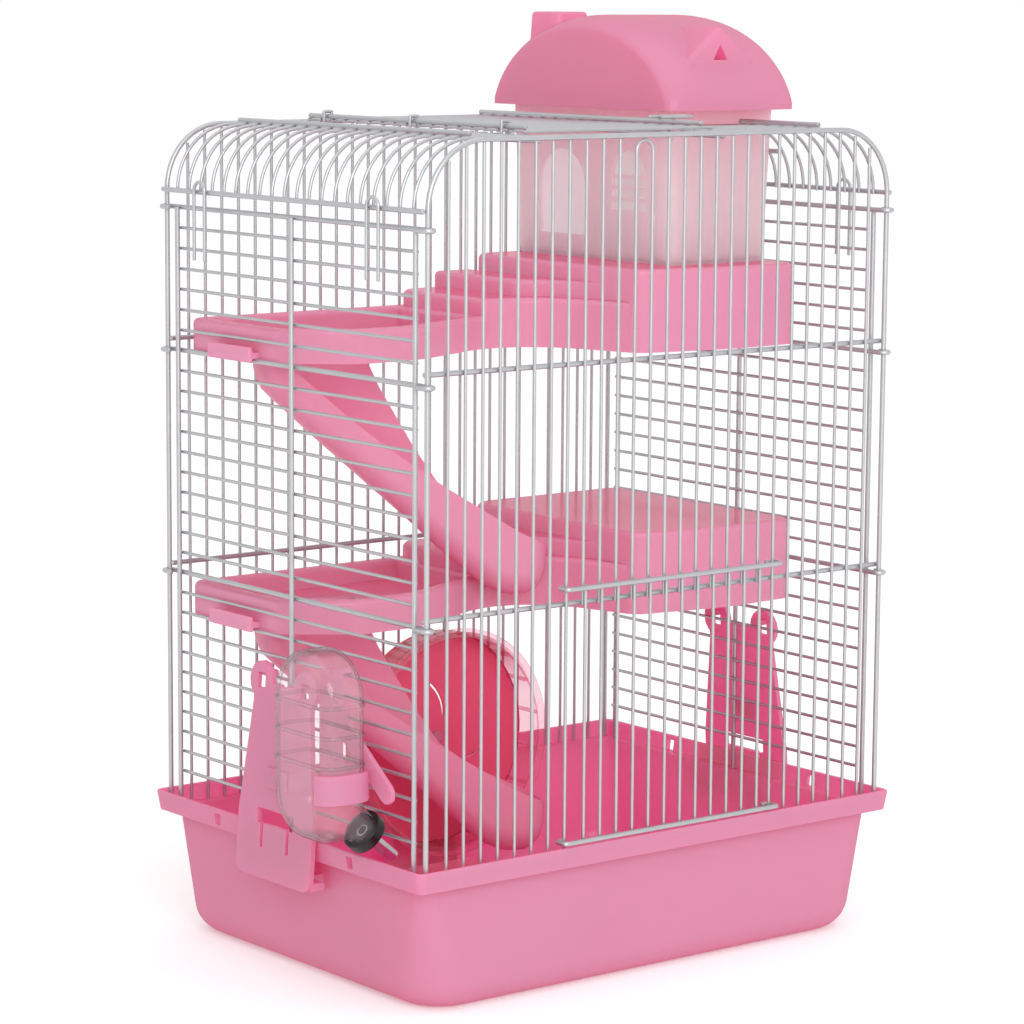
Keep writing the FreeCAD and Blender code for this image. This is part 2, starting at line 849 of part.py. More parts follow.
def shelf(level):
    z = shelf_z[level]
    wall = shelf_wall
    shape = shelf_mass(0, 0)
    hollow = shelf_mass(wall, wall)
    left_part = rectangle(-rim_x, step_x[0] - wall, -rim_x, rim_x, 0)
    tub = Part.Face(shelf_plan(basin_lip - wall)).common(Part.Face(left_part))
    right_end = rectangle(-rim_x, step_x[0] - 2 * wall, -rim_x, rim_x, 0)
    bowl = Part.Face(shelf_plan(basin_lip)).common(Part.Face(right_end))
    tub.translate(V(0, 0, basin_floor - wall))
    bowl.translate(V(0, 0, basin_floor))
    hollow = hollow.cut(tub.extrude(V(0, 0, rim_x)))
    shape = shape.cut(hollow).cut(bowl.extrude(V(0, 0, rim_x)))
    shape = shape.cut(slide_place(prism(neck_plan(collar_gap), 0, basin_floor), 0))
    flange = prism(neck_plan(collar_width + collar_gap), basin_floor, shelf_heights[-1])
    shape = shape.cut(slide_place(flange, 0))
    if level:
        foot = slide_place(slide_body(-collar_gap, 0), shelf_z[level - 1] - z)
        shape = shape.cut(foot)
    wire = shelf_wires[level]
    rest = side_top(wire) - z
    lip_x = side_wire_x + 2 * thin
    for sign in (-1, 1):
        reach = sorted((sign * (shelf_edge - wall / 2), sign * (lip_x + lip_thick)))
        lip = sorted((sign * lip_x, sign * (lip_x + lip_thick)))
        shape = shape.fuse(block(*reach, tongue_y0, tongue_y1, rest, rest + tongue_thick))
        shape = shape.fuse(block(*lip, tongue_y0, tongue_y1, lip_low, lip_high))
    shape = shape.removeSplitter()
    shape.translate(V(0, 0, z))
    return shape


def slide_body(inset, top):
    """The slide's block before it is hollowed, drawn in by inset and open upwards to top."""
    floor = inset - slide_floor_drop
    path = [V(inset, 0, top), V(inset, 0, inset - slide_knee_drop), V(slide_floor_s, 0, floor),
            V(slide_length, 0, floor), V(slide_length, 0, top)]
    side = flat_face(path).extrude(V(0, slide_width, 0))
    nose = slide_width / 2 * full_round
    plan = outline([(0, 0, slide_edge), (slide_length, 0, nose), (slide_length, slide_width, nose),
                    (0, slide_width, slide_edge)], inset)
    return side.common(prism(plan, -rim_x, rim_x))


def slide(level):
    """An open chute that hangs by its collar from a hole in the shelf's basin and ends in a scoop."""
    z = shelf_z[level]
    under = basin_floor - shelf_wall
    wall = slide_wall
    shape = slide_body(0, under).cut(slide_body(wall, shelf_heights[-1]))
    past = slide_length + wall
    near_top = [(lip_s, under), (lip_s, -lip_drop), (near_s, -near_drop), (slide_length, -scoop_drop),
                (past, -scoop_drop), (past, under)]
    far_top = [(slide_neck + wall, under), (far_s, -far_drop), (slide_length, -scoop_drop), (past, -scoop_drop),
               (past, under)]
    for line, y in ((near_top, 0), (far_top, slide_width / 2)):
        shape = shape.cut(flat_face([V(s, y, h) for s, h in line]).extrude(V(0, slide_width / 2, 0)))
    top = basin_floor + collar_thick
    collar = prism(neck_plan(collar_width), basin_floor, top).fuse(prism(neck_plan(0), under - collar_thick, top))
    collar = collar.cut(prism(neck_plan(-wall), -rim_x, rim_x))
    shape = shape.fuse(collar).removeSplitter()
    return slide_place(shape, z)


def house_shell(inset, low, high):
    """The house's tapered block between two heights above the plateau, drawn in by inset."""
    rings = []
    for height in (low, high):
        draw = inset + house_draft * (1 - height / house_height)
        rings.append(ring(house_x0 + draw, house_x1 - draw, house_y0 + draw, house_y1 - draw,
                          house_corner - inset, plateau_z + height, small_chords))
    return stack(rings)


def arched(y, radius, low, spring):
    """An arched opening in the house's left wall."""
    near = house_x0 - house_wall
    top = plateau_z + spring + radius
    wire = outline([(y - radius, plateau_z + low, 0), (y + radius, plateau_z + low, 0),
                    (y + radius, top, radius * full_round), (y - radius, top, radius * full_round)])
    return to_side(prism(wire, 0, house_draft + 3 * house_wall), near)


def house_body():
    shape = house_shell(0, 0, house_height).cut(house_shell(house_wall, house_wall, house_height + house_wall))
    shape = shape.cut(arched(door_arch_y, door_arch_r, door_arch_low, door_arch_spring))
    pane = arched(pane_y, pane_r, pane_low, pane_spring)
    pitch = (pane_spring - pane_low) / louvre_count
    for index in range(louvre_count):
        z = plateau_z + pane_low + (index + 1) * pitch - louvre_thick / 2
        pane = pane.cut(block(-rim_x, rim_x, -rim_x, rim_x, z, z + louvre_thick))
    return shape.cut(pane)


def vault(inset):
    """The house roof's block: a barrel vault along X with rounded gable ends, drawn in by inset."""
    x0 = house_x0 - roof_over_x0 + inset
    x1 = house_x1 + roof_over_x1 - inset
    half = (house_y1 + roof_over_y1 - house_y0 + roof_over_y0) / 2
    middle = (house_y1 + roof_over_y1 + house_y0 - roof_over_y0) / 2
    low = house_top_z - roof_lap - inset
    radius = (half * half + roof_crown * roof_crown) / (2 * roof_crown)
    reach = math.asin(half / radius)
    round_in = min(roof_round_in, full_round * roof_skirt / math.cos(reach))
    centre_z = house_top_z - roof_lap + roof_skirt + roof_crown - radius
    angles = [reach * (2 * k / vault_chords - 1) for k in range(vault_chords + 1)]

    def gable(x, draw):
        drawn = radius - inset - draw
        points = [V(x, middle + drawn * math.sin(a), centre_z + drawn * math.cos(a)) for a in angles]
        return points + [V(x, points[-1].y, low), V(x, points[0].y, low)]

    left = []
    right = []
    for step in range(edge_chords + 1):
        angle = math.pi / 2 * step / edge_chords
        along = (roof_round_x - inset) * (1 - math.sin(angle))
        draw = (round_in - inset) * (1 - math.cos(angle))
        left.insert(0, gable(x0 + along, draw))
        right.append(gable(x1 - along, draw))
    return stack(left + right)


def house_roof():
    """The lift-off roof: a vault with a chimney and a dormer, standing on the house by two inner ribs."""
    base = house_top_z - roof_lap + roof_skirt
    outer = vault(0)
    inner = vault(roof_wall)
    rings = []
    top = base + roof_crown + chimney_top
    for z, draw in ((base, 0), (top - chimney_round, 0), (top, chimney_round)):
        half = chimney_side / 2 - draw
        rings.append(ring(chimney_x - half, chimney_x + half, chimney_y - half, chimney_y + half,
                          2 * chimney_round - draw, z, small_chords))
    gable = [V(dormer_x - dormer_half, dormer_y, base + dormer_base), V(dormer_x, dormer_y, base + dormer_top),
             V(dormer_x + dormer_half, dormer_y, base + dormer_base)]
    shape = outer.fuse([stack(rings), flat_face(gable).extrude(V(0, dormer_depth, 0))]).cut(inner)
    mid = base + (dormer_base + dormer_top) / 2 - dormer_hole_drop
    light = [V(dormer_x - dormer_hole, dormer_y, mid - dormer_hole), V(dormer_x, dormer_y, mid + dormer_hole / 2),
             V(dormer_x + dormer_hole, dormer_y, mid - dormer_hole)]
    shape = shape.cut(flat_face(light).extrude(V(0, roof_over_y0, 0)))
    rib_low = house_top_z + floor_gap
    ribs = []
    for y in (house_y0, house_y1 - roof_rib):
        rib = block(house_x0 + roof_rib_inset, house_x1 - roof_rib_inset, y, y + roof_rib, rib_low,
                    base + roof_crown)
        ribs.append(rib.common(inner))
    return shape.fuse(ribs).removeSplitter()


def disc_y():
    return wheel_front_y + wheel_depth


def wheel_drum():
    """The clear running drum: a front ring, a tapered wall and rungs along the axis."""
    y0 = wheel_front_y
    y1 = disc_y()
    back = y0 + wheel_ring_thick
    outer = wheel_ring - wheel_ring_width / 2
    small = outer - wheel_taper
    drum = wheel_turned([
        (wheel_ring - wheel_ring_width, y0), (wheel_ring, y0), (wheel_ring, back), (outer, back), (small, y1),
        (small - wheel_wall, y1), (outer - wheel_wall, back), (wheel_ring - wheel_ring_width, back)], wheel_sides)
    inner = small - wheel_wall / 2
    bar = block(wheel_x - rung_side / 2, wheel_x + rung_side / 2, back, y1, wheel_z + inner - rung_side,
                wheel_z + inner)
    rungs = []
    for index in range(wheel_rungs):
        rung = bar.copy()
        rung.rotate(V(wheel_x, 0, wheel_z), V(0, 1, 0), 360.0 * index / wheel_rungs)
        rungs.append(rung)
    return drum.fuse(rungs).removeSplitter()


def wheel_disc():
    """The solid back of the wheel, with three swept slots and a hub behind it that runs on the axle."""
    y0 = disc_y()
    y1 = y0 + wheel_disc_thick
    edge = wheel_ring - wheel_ring_width / 2 - wheel_taper
    hub_end = y1 + wheel_hub_length
    disc = wheel_turned([(0, y0), (edge, y0), (edge, y1), (wheel_hub, y1), (wheel_hub, hub_end), (0, hub_end)],
                        wheel_sides)
    cuts = [Part.makeCylinder(axle_radius + axle_gap, hub_end - y0, V(wheel_x, y0, wheel_z), V(0, 1, 0))]
    for index in range(slot_count):
        near = []
        far = []
        for step in range(corner_chords + 1):
            share = step / corner_chords
            radius = slot_inner + (slot_outer - slot_inner) * share
            angle = math.radians(360.0 * index / slot_count + slot_start + slot_sweep * share)
            half = slot_width / 2 / radius
            near.append(V(radius * math.cos(angle - half), radius * math.sin(angle - half), 0))
            far.insert(0, V(radius * math.cos(angle + half), radius * math.sin(angle + half), 0))
        slot = to_front(flat_face(near + far).extrude(V(0, 0, wheel_disc_thick)), y1)
        slot.translate(V(wheel_x, 0, wheel_z))
        cuts.append(slot)
    return disc.cut(cuts).removeSplitter()


def stand_y():
    return disc_y() + wheel_disc_thick + wheel_hub_length + stand_gap


def wheel_axle():
    """The steel axle: a head in front of the disc and a shank through its hub into the stand."""
    head = disc_y() - axle_end_gap
    front = head - axle_head_thick
    end = stand_y() + stand_thick
    return wheel_turned([(0, front), (axle_head, front), (axle_head, head), (axle_radius, head),
                         (axle_radius, end), (0, end)], round_sides).removeSplitter()


def wheel_stand():
    """The wheel's upright plate on a foot that stands on the tray's floor."""
    y0 = stand_y()
    y1 = y0 + stand_thick
    foot_z = tray_wall
    top = wheel_z + stand_high
    nose = stand_high * full_round
    plate = outline([(wheel_x - stand_low, foot_z, 0), (wheel_x + stand_low, foot_z, 0),
                     (wheel_x + stand_high, top, nose), (wheel_x - stand_high, top, nose)])
    foot = rectangle(wheel_x - stand_foot_x / 2, wheel_x + stand_foot_x / 2, y1 - stand_foot_y, y1, stand_thick)
    shape = to_front(prism(plate, 0, stand_thick), y1).fuse(prism(foot, foot_z, foot_z + stand_foot_thick))
    bore = Part.makeCylinder(axle_radius, stand_thick, V(wheel_x, y0, wheel_z), V(0, 1, 0))
    return shape.cut(bore).removeSplitter()


def latch(sign):
    """A side latch: an eared plate that leans on the side wires and turns on a pin under the rim."""
    plate = prism(outline([
        (-latch_wide, 0, latch_round), (latch_wide, 0, latch_round), (latch_wide, latch_wide_rise, latch_shoulder),
        (latch_waist, latch_waist_rise, latch_round), (latch_waist, latch_ear_rise, 0),
        (-latch_waist, latch_ear_rise, 0), (-latch_waist, latch_waist_rise, latch_round),
        (-latch_wide, latch_wide_rise, latch_shoulder)]), 0, latch_thick)
    for y in (-latch_ear_y, latch_ear_y):
        plate = plate.fuse(prism(circle(y, latch_ear_rise, latch_ear_r), 0, latch_thick))
    high = latch_ear_rise + latch_ear_r
    cuts = [prism(rectangle(-latch_notch, latch_notch, high - latch_notch_depth, high + latch_ear_r,
                            latch_notch * full_round), 0, latch_thick)]
    for y in (-latch_ear_y, latch_ear_y):
        cuts.append(block(y - latch_eye_y / 2, y + latch_eye_y / 2, latch_ear_rise - latch_eye_z / 2,
                          latch_ear_rise + latch_eye_z / 2, 0, latch_thick))
    window_low = latch_window_rise - latch_window_z / 2
    cuts.append(block(-latch_window_y / 2, latch_window_y / 2, window_low, window_low + latch_window_z, 0,
                      latch_thick))
    for y in (-tongue_half - tongue_slot, tongue_half):
        cuts.append(block(y, y + tongue_slot, window_low - tongue_length, window_low, 0, latch_thick))
    plate = to_side(plate.cut(cuts), 0)
    lean_x = rim_x / 2 + latch_gap
    plate.translate(V(lean_x, 0, latch_low_z))
    plate.rotate(V(lean_x, 0, rim_z), V(0, 1, 0), -latch_lean)
    pin_x = hinge_x(1)
    pin = Part.makeCylinder(latch_pin_r, 2 * latch_wide, V(pin_x, -latch_wide, latch_pin_z), V(0, 1, 0))
    inner = lug_y - lug_width / 2 - lug_clear
    outer = lug_y + lug_width / 2 + lug_clear
    web_end = lean_x + latch_thick
    webs = [block(pin_x, web_end, y0, y1, latch_pin_z - latch_pin_r, latch_pin_z + latch_pin_r)
            for y0, y1 in ((-latch_wide, -outer), (-inner, inner), (outer, latch_wide))]
    nib_low = side_z(nib_wire) + thin + seat_gap
    nib_x = side_wire_x - nib_reach
    nibs = [block(nib_x, post_x + 2 * thick, y - nib_half, y + nib_half, nib_low, nib_low + nib_thick)
            for y in (-latch_ear_y, latch_ear_y)]
    shape = plate.fuse([pin] + webs + nibs).removeSplitter()
    return shape if sign > 0 else shape.mirror(V(0, 0, 0), V(1, 0, 0))


def bottle_block(inset):
    """The bottle's block: an arch seen from the side, with rounded edges all round, drawn in by inset."""
    def arch_ring(x, draw):
        half = bottle_width / 2 - draw
        low = bottle_z + draw
        spring = bottle_z + bottle_height - bottle_width / 2
        points = []
        for chord in range(2 * round_chords + 1):
            angle = math.pi * chord / (2 * round_chords)
            points.append(V(x, bottle_y + half * math.cos(angle), spring + half * math.sin(angle)))
        for side, start, corner in ((-1, math.pi, bottle_corner - draw), (1, 1.5 * math.pi, bottle_heel - draw)):
            for chord in range(corner_chords + 1):
                angle = start + math.pi / 2 * chord / corner_chords
                points.append(V(x, bottle_y + side * (half - corner) + corner * math.cos(angle),
                                low + corner + corner * math.sin(angle)))
        return points

    edge = bottle_edge - inset
    near = bottle_x - bottle_thick / 2 + inset
    far = bottle_x + bottle_thick / 2 - inset
    left = []
    right = []
    for step in range(small_chords + 1):
        angle = math.pi / 2 * step / small_chords
        draw = inset + edge * (1 - math.sin(angle))
        along = edge * (1 - math.cos(angle))
        left.append(arch_ring(near + along, draw))
        right.insert(0, arch_ring(far - along, draw))
    return stack(left + right)


def neck_place(shape):
    """Moves a piece drawn along Z from the bottle's neck to its tilted place."""
    tilt = FreeCAD.Rotation(V(0, 1, 0), 90 + neck_tilt)
    shape.Placement = FreeCAD.Placement(V(neck_x, neck_y, neck_z), tilt)
    return shape


def tube_profile(inner, outer, low, high):
    return [(inner, low), (outer, low), (outer, high), (inner, high)]


def bottle():
    neck = neck_place(turned(tube_profile(0, neck_radius, -neck_root, neck_length), round_sides))
    bore = neck_place(turned(tube_profile(0, neck_radius - bottle_wall, -neck_root, neck_length), round_sides))
    return bottle_block(0).fuse(neck).cut(bottle_block(bottle_wall)).cut(bore)


def bottle_cap():
    """The black screw cap over the neck, with a hole for the drinking tube."""
    top = neck_length + cap_wall
    skirt = top - cap_length
    socket = neck_radius + cap_gap
    inside = neck_length + cap_gap
    profile = [(tube_radius, inside), (socket, inside), (socket, skirt), (cap_radius, skirt), (cap_radius, top),
               (tube_radius, top)]
    return neck_place(turned(profile, round_sides))


def tube_start():
    return neck_length - tube_inset


def bottle_tube():
    """The steel drinking tube, turned in at its tip to hold the ball."""
    start = tube_start()
    end = start + tube_length
    bore = tube_radius - tube_wall
    mouth = ball_radius() - crimp
    profile = [(bore, start), (tube_radius, start), (tube_radius, end), (mouth, end), (mouth, end - crimp),
               (bore, end - crimp)]
    return neck_place(turned(profile, round_sides))


def ball_radius():
    return tube_radius - tube_wall - ball_gap


def bottle_ball():
    radius = ball_radius()
    rest = math.sqrt(radius * radius - (radius - crimp) ** 2)
    centre = tube_start() + tube_length - crimp - rest - ball_gap
    profile = [(0, centre - radius)]
    for step in range(1, ball_sides // 2):
        angle = 2 * math.pi * step / ball_sides
        profile.append((radius * math.sin(angle), centre - radius * math.cos(angle)))
    return neck_place(turned(profile + [(0, centre + radius)], ball_sides))


def bottle_holder():
    """The clip for the bottle: a rail hooked on a side wire, a sloping arm and a sprung band."""
    face_x = -(post_x + thick + holder_gap)
    back_x = bottle_x + bottle_thick / 2 + holder_gap
    wire_z = side_z(holder_hook_wire)
    hook_low = wire_z + thin + seat_gap
    hook_high = hook_low + holder_thick
    hook_end = -(side_wire_x - 3 * thin)
    rail = block(back_x, face_x, holder_y0, holder_y1, holder_low, hook_high)
    hook = block(face_x, hook_end, holder_y0, holder_y1, hook_low, hook_high)
    tip = block(-(side_wire_x - thin - seat_gap), hook_end, holder_y0, holder_y1, wire_z - 2 * thin, hook_high)
    near = bottle_y - bottle_width / 2 - holder_gap
    front = bottle_x - bottle_thick / 2 - holder_gap
    far_x = back_x + holder_thick
    outer = rectangle(front - band_thick, far_x, near - band_thick, rim_x, band_round + band_thick)
    inner = rectangle(front, back_x, near, rim_x, band_round)
    band = prism(outer, band_low, band_high).cut(prism(inner, band_low, band_high))
    band = band.cut(block(-rim_x, bottle_x, band_end, 2 * rim_x, band_low, band_high))
    band = band.cut(block(-rim_x, rim_x, holder_y1, 2 * rim_x, band_low, band_high))
    drop = math.atan2(arm_start_z - arm_end_z, holder_y0 - arm_end_y)
    half = arm_width / 2
    reach = (holder_y0 - arm_end_y) / math.cos(drop)
    arm = outline([(half, half, 0), (half, -half, 0), (-reach - half, -half, half * full_round),
                   (-reach - half, half, half * full_round)])
    arm = prism(arm, 0, holder_thick)
    arm.rotate(V(0, 0, 0), V(0, 0, 1), math.degrees(drop))
    arm.translate(V(holder_y0, arm_start_z, 0))
    return rail.fuse([hook, tip, band, to_side(arm, back_x)]).removeSplitter()


def food_box():
    """A clear open box for food on the tray's floor."""
    low = tray_wall + floor_gap

    def box_ring(inset, z):
        draw = inset + box_draft * (1 - (z - low) / box_height)
        return ring(box_x - box_length / 2 + draw, box_x + box_length / 2 - draw, box_y - box_width / 2 + draw,
                    box_y + box_width / 2 - draw, box_corner - inset, z, corner_chords)

    outer = stack([box_ring(0, low), box_ring(0, low + box_height)])
    inner = stack([box_ring(box_wall, low + box_wall), box_ring(box_wall, low + box_height + box_wall)])
    return outer.cut(inner)


pieces = {
    "tray": tray(),
    "front_panel": face_panel(-1, True),
    "back_panel": face_panel(1, False),
    "left_panel": side_panel(-1),
    "right_panel": side_panel(1),
    "roof_panel": roof_panel(),
    "roof_clips": roof_clips(),
    "door": door(),
    "hatch": hatch(),
    "hatch_latch": hatch_latch(),
    "upper_shelf": shelf(0),
    "middle_shelf": shelf(1),
    "upper_slide": slide(0),
    "lower_slide": slide(1),
    "house_body": house_body(),
    "house_roof": house_roof(),
    "wheel_drum": wheel_drum(),
    "wheel_disc": wheel_disc(),
    "wheel_axle": wheel_axle(),
    "wheel_stand": wheel_stand(),
    "latch_left": latch(-1),
    "latch_right": latch(1),
    "bottle": bottle(),
    "bottle_cap": bottle_cap(),
    "bottle_tube": bottle_tube(),
    "bottle_ball": bottle_ball(),
    "bottle_holder": bottle_holder(),
    "food_box": food_box(),
}

for name, shape in pieces.items():
    shape.exportStep(f"parts/{name}.step")
    print(name, len(shape.Solids), "solids", round(shape.Volume), "mm3", shape.isValid())
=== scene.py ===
from math import asin, atan2, ceil, copysign, cos, pi, radians, sin, sqrt, tan

import bmesh
import bpy
from mathutils import Matrix, Vector


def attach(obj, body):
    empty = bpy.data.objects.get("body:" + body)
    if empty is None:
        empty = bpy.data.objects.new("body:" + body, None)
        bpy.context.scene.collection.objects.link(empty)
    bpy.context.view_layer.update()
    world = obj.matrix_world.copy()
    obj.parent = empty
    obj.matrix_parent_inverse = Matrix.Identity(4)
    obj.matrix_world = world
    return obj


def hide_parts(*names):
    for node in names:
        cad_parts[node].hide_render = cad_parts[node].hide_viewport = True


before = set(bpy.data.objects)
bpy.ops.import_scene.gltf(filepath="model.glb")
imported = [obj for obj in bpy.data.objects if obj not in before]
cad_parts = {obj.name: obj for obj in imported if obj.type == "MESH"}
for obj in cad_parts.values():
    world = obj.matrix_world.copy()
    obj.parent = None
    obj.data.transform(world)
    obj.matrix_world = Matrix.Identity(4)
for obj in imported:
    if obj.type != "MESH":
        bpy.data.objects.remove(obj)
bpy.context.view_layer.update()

scene = bpy.context.scene
V = Vector
MM = 0.001

# Sizes in millimetres and angles in degrees; those of the forms are the solids' own
rim_x, rim_y, rim_z, rim_corner = 360.0, 270.0, 86.0, 4.0
skirt_height, skirt_draft = 12.3, 1.5
base_x, base_y, base_corner, base_edge = 336.0, 253.5, 32.0, 16.0
throat_inset, throat_corner, tray_wall = 9.5, 8.0, 2.5
latch_hole_y, latch_hole_w, latch_hole_h, latch_hole_drop = 67.0, 6.0, 7.0, 1.5
thick, thin, thick_sides, thin_sides, cut_break = 1.5, 1.0, 12, 10, 0.3
arch_chords, stub_chords, full_bend, rest_gap = 14, 6, 0.98, 0.155
same_place, no_turn = 1e-4, 0.01
post_x, post_y, arch_z, arch_bend = 171.65, 129.2, 489.0, 38.0
upright_count, upright_span = 27, 314.4
bar_low_z, bar_high_z, bar_overhang = 225.8, 361.9, 0.3
side_top_z, side_pitch, side_wires, side_thick = 440.6, 12.2, 29, (0, 7, 18)
side_post_y, side_nub, side_front, loop_tail = 118.2, 0.2, 1.2, 10.0
hairpin_wires, hairpin_drop = (11, 12), 1.3
door_guides, door_uprights, door_gap, door_bottom, door_lap, door_hook = (7, 20), 12, 0.4, 2.2, 9.2, 3.0
roof_wires, roof_end_z = 22, 450.9
hatch_left, hatch_right, hatch_lap, hatch_first, hatch_latch_wire = -85.0, 45.0, 9.0, 2, 4
roof_frame_x, house_bar_x, house_bar_angle = 52.0, 73.0, 37.0
roof_rod_x, roof_rod_y, house_first, house_last = 130.5, 113.0, 7, 20
seat_gap, eye_lean, eye_places = 0.3, 0.3, (3, 10, 17)
clip_y, clip_half, clip_rise, clip_length = 86.0, 5.5, 6.0, 46.0
ledge_z = rim_z - skirt_height + tray_wall
upright_pitch = upright_span / (upright_count - 1)
upright_y = post_y - thick + thin
roof_pitch = 2 * post_y / (roof_wires - 1)
side_wire_x = post_x - thick - thin
side_bar_x = post_x - 2 * thick
end_bar_x = post_x + 2 * thick
tail_x = end_bar_x - thick - thin
roof_bar_z = arch_z - thin - thick
hatch_wire_z = arch_z + 2 * thin + seat_gap
hatch_bar_z = hatch_wire_z + thin + thick
pin_x, pin_z = 177.5, 59.5
shelf_edge, shelf_back, shelf_wall, shelf_z = 166.5, 115.0, 2.0, (355.0, 196.4)
shelf_heights, step_rise = (20.0, 30.0, 40.0, 50.0), 10.0
terrace_end, step_round, basin_floor = 45.0, 14.0, 8.0
hole_x0, hole_x1, hole_y0, hole_y1 = -163.0, -156.0, 40.9, 62.0
plateau_z, house_top_z = 405.0, 500.0
house_x0, house_x1, house_y0, house_y1 = 77.5, 160.0, -41.0, 113.5
house_height, house_draft, house_corner, house_wall = 95.0, 3.0, 4.0, 2.0
wheel_x, wheel_z, wheel_front_y, wheel_depth, wheel_ring = -5.0, 105.0, 61.0, 22.0, 72.0
slide_x, slide_y, slide_turn, slide_width, slide_length = -160.0, 45.0, 22.0, 40.0, 178.0
slide_neck, slide_neck_round = 64.0, 8.0
bottle_x0, bottle_x1, bottle_y, bottle_half = -213.0, -183.0, -65.0, 27.5
bottle_low, bottle_height, bottle_edge, bottle_wall = 97.0, 108.0, 9.0, 1.5
neck_x, neck_y, neck_tilt, neck_radius = -186.0, -82.0, 40.0, 10.0
round_chords, far_off, crease, wire_crease = 24, 300.0, 38.0, 60.0


def upright_x(index):
    return (index - (upright_count - 1) / 2) * upright_pitch


def roof_y(index):
    return -post_y + index * roof_pitch


def side_z(index):
    return side_top_z - index * side_pitch


# Mesh helpers: a form is a pair of lists, points in millimetres and faces
def joined(forms):
    points, faces = [], []
    for form_points, form_faces in forms:
        start = len(points)
        points += form_points
        faces += [tuple(i + start for i in face) for face in form_faces]
    return points, faces


def loft(rings, closed=True):
    """Skins rings of points that have as many points each, with a face over both ends if closed."""
    count = len(rings[0])
    points = [p for ring in rings for p in ring]
    faces = []
    for r in range(len(rings) - 1):
        for k in range(count):
            n = (k + 1) % count
            faces.append((r * count + k, r * count + n, (r + 1) * count + n, (r + 1) * count + k))
    if closed:
        faces.append(tuple(range(count))[::-1])
        faces.append(tuple((len(rings) - 1) * count + k for k in range(count)))
    return points, faces


def wire_route(points, bend, chords):
    """The points along a bent wire, with each corner on a true arc."""
    if not bend:
        return list(points)
    route = [points[0]]
    for before, corner, after in zip(points, points[1:], points[2:]):
        inward = (before - corner).normalized()
        outward = (after - corner).normalized()
        turn = pi - inward.angle(outward)
        start = corner + inward * (bend * tan(turn / 2))
        ahead = -inward
        middle = (inward + outward).normalized()
        across = (middle - ahead * middle.dot(ahead)).normalized()
        centre = start + across * bend
        for chord in range(chords + 1):
            angle = turn * chord / chords
            route.append(centre + ahead * (bend * sin(angle)) - across * (bend * cos(angle)))
    return route + [points[-1]]


def wire(points, radius, bend=0.0, chords=8):
    """A round wire through the points, with its cut ends slightly broken."""
    points = [V(p) for p in points]
    route = wire_route(points, bend, chords)
    route = [p for i, p in enumerate(route) if i == 0 or (p - route[i - 1]).length > same_place]
    runs = [(b - a).normalized() for a, b in zip(route, route[1:])]
    normal = V((0, 0, 0))
    for run in runs[1:]:
        if normal.length < no_turn:
            normal = runs[0].cross(run)
    if normal.length < no_turn:
        normal = runs[0].cross(V((0, 0, 1)) if abs(runs[0].z) < 0.9 else V((1, 0, 0)))
    normal.normalize()
    sides = thick_sides if radius == thick else thin_sides
    spokes = [2 * pi * (k + 0.5) / sides for k in range(sides)]
    rings = []

    def ring(place, along, size, stretch):
        across = along.cross(normal).normalized() * stretch
        rings.append([place + across * (size * cos(a)) + normal * (size * sin(a)) for a in spokes])

    broken = cut_break * radius
    ring(route[0], runs[0], radius - broken, 1.0)
    ring(route[0] + runs[0] * broken, runs[0], radius, 1.0)
    for index in range(1, len(route) - 1):
        along = (runs[index - 1] + runs[index]).normalized()
        ring(route[index], along, radius, 1 / along.dot(runs[index]))
    ring(route[-1] - runs[-1] * broken, runs[-1], radius, 1.0)
    ring(route[-1], runs[-1], radius - broken, 1.0)
    return loft(rings)


def outline(corners, inset=0.0, chords=8):
    """Points of a closed outline through (x, y, radius) corners, each on an arc, drawn in by inset."""
    places = [V((x, y)) for x, y, radius in corners]
    count = len(corners)
    area = sum(a.x * b.y - a.y * b.x for a, b in zip(places, places[1:] + places[:1]))
    hand = copysign(1, area)
    points = []
    for index in range(count):
        radius = corners[index][2]
        ahead = (places[index] - places[index - 1]).normalized()
        after = (places[(index + 1) % count] - places[index]).normalized()
        turn = atan2(ahead.x * after.y - ahead.y * after.x, ahead.dot(after))
        bend = max(radius - inset * copysign(1, turn * hand), 0) if radius else 0
        inward = (after - ahead).normalized()
        corner = places[index] + inward * (inset * hand * copysign(1, turn) / cos(turn / 2))
        centre = corner + inward * (bend / cos(turn / 2))
        steps = max(1, ceil(abs(turn) / (pi / 2) * chords)) if bend else 0
        start = corner - ahead * (bend * tan(abs(turn) / 2)) - centre
        for chord in range(steps + 1):
            angle = turn * chord / steps if steps else 0
            points.append((centre.x + start.x * cos(angle) - start.y * sin(angle),
                           centre.y + start.x * sin(angle) + start.y * cos(angle)))
    return points if hand > 0 else points[::-1]


def prism(plan, low, high):
    return loft([[V((x, y, z)) for x, y in plan] for z in (low, high)])


def arc(x, y, radius, start, sweep, chords):
    """Points on an arc about x, y."""
    angles = [start + sweep * step / chords for step in range(chords + 1)]
    return [(x + radius * cos(a), y + radius * sin(a)) for a in angles]


def quarter(chords=8):
    """1 - cos and 1 - sin at each step of a quarter round, for edges that are drawn in."""
    angles = [pi / 2 * step / chords for step in range(chords + 1)]
    return [(1 - cos(a), 1 - sin(a)) for a in angles]


def circle(radius, sides=48):
    return arc(0, 0, radius, 0.0, 2 * pi, sides)[:-1]


def rectangle(x0, x1, y0, y1, radius=0.0, chords=8):
    return outline([(x0, y0, radius), (x1, y0, radius), (x1, y1, radius), (x0, y1, radius)], 0.0, chords)


def block(x0, x1, y0, y1, z0, z1):
    return prism(rectangle(x0, x1, y0, y1), z0, z1)


def ring(x0, x1, y0, y1, radius, z, chords=8):
    return [V((x, y, z)) for x, y in rectangle(x0, x1, y0, y1, radius, chords)]


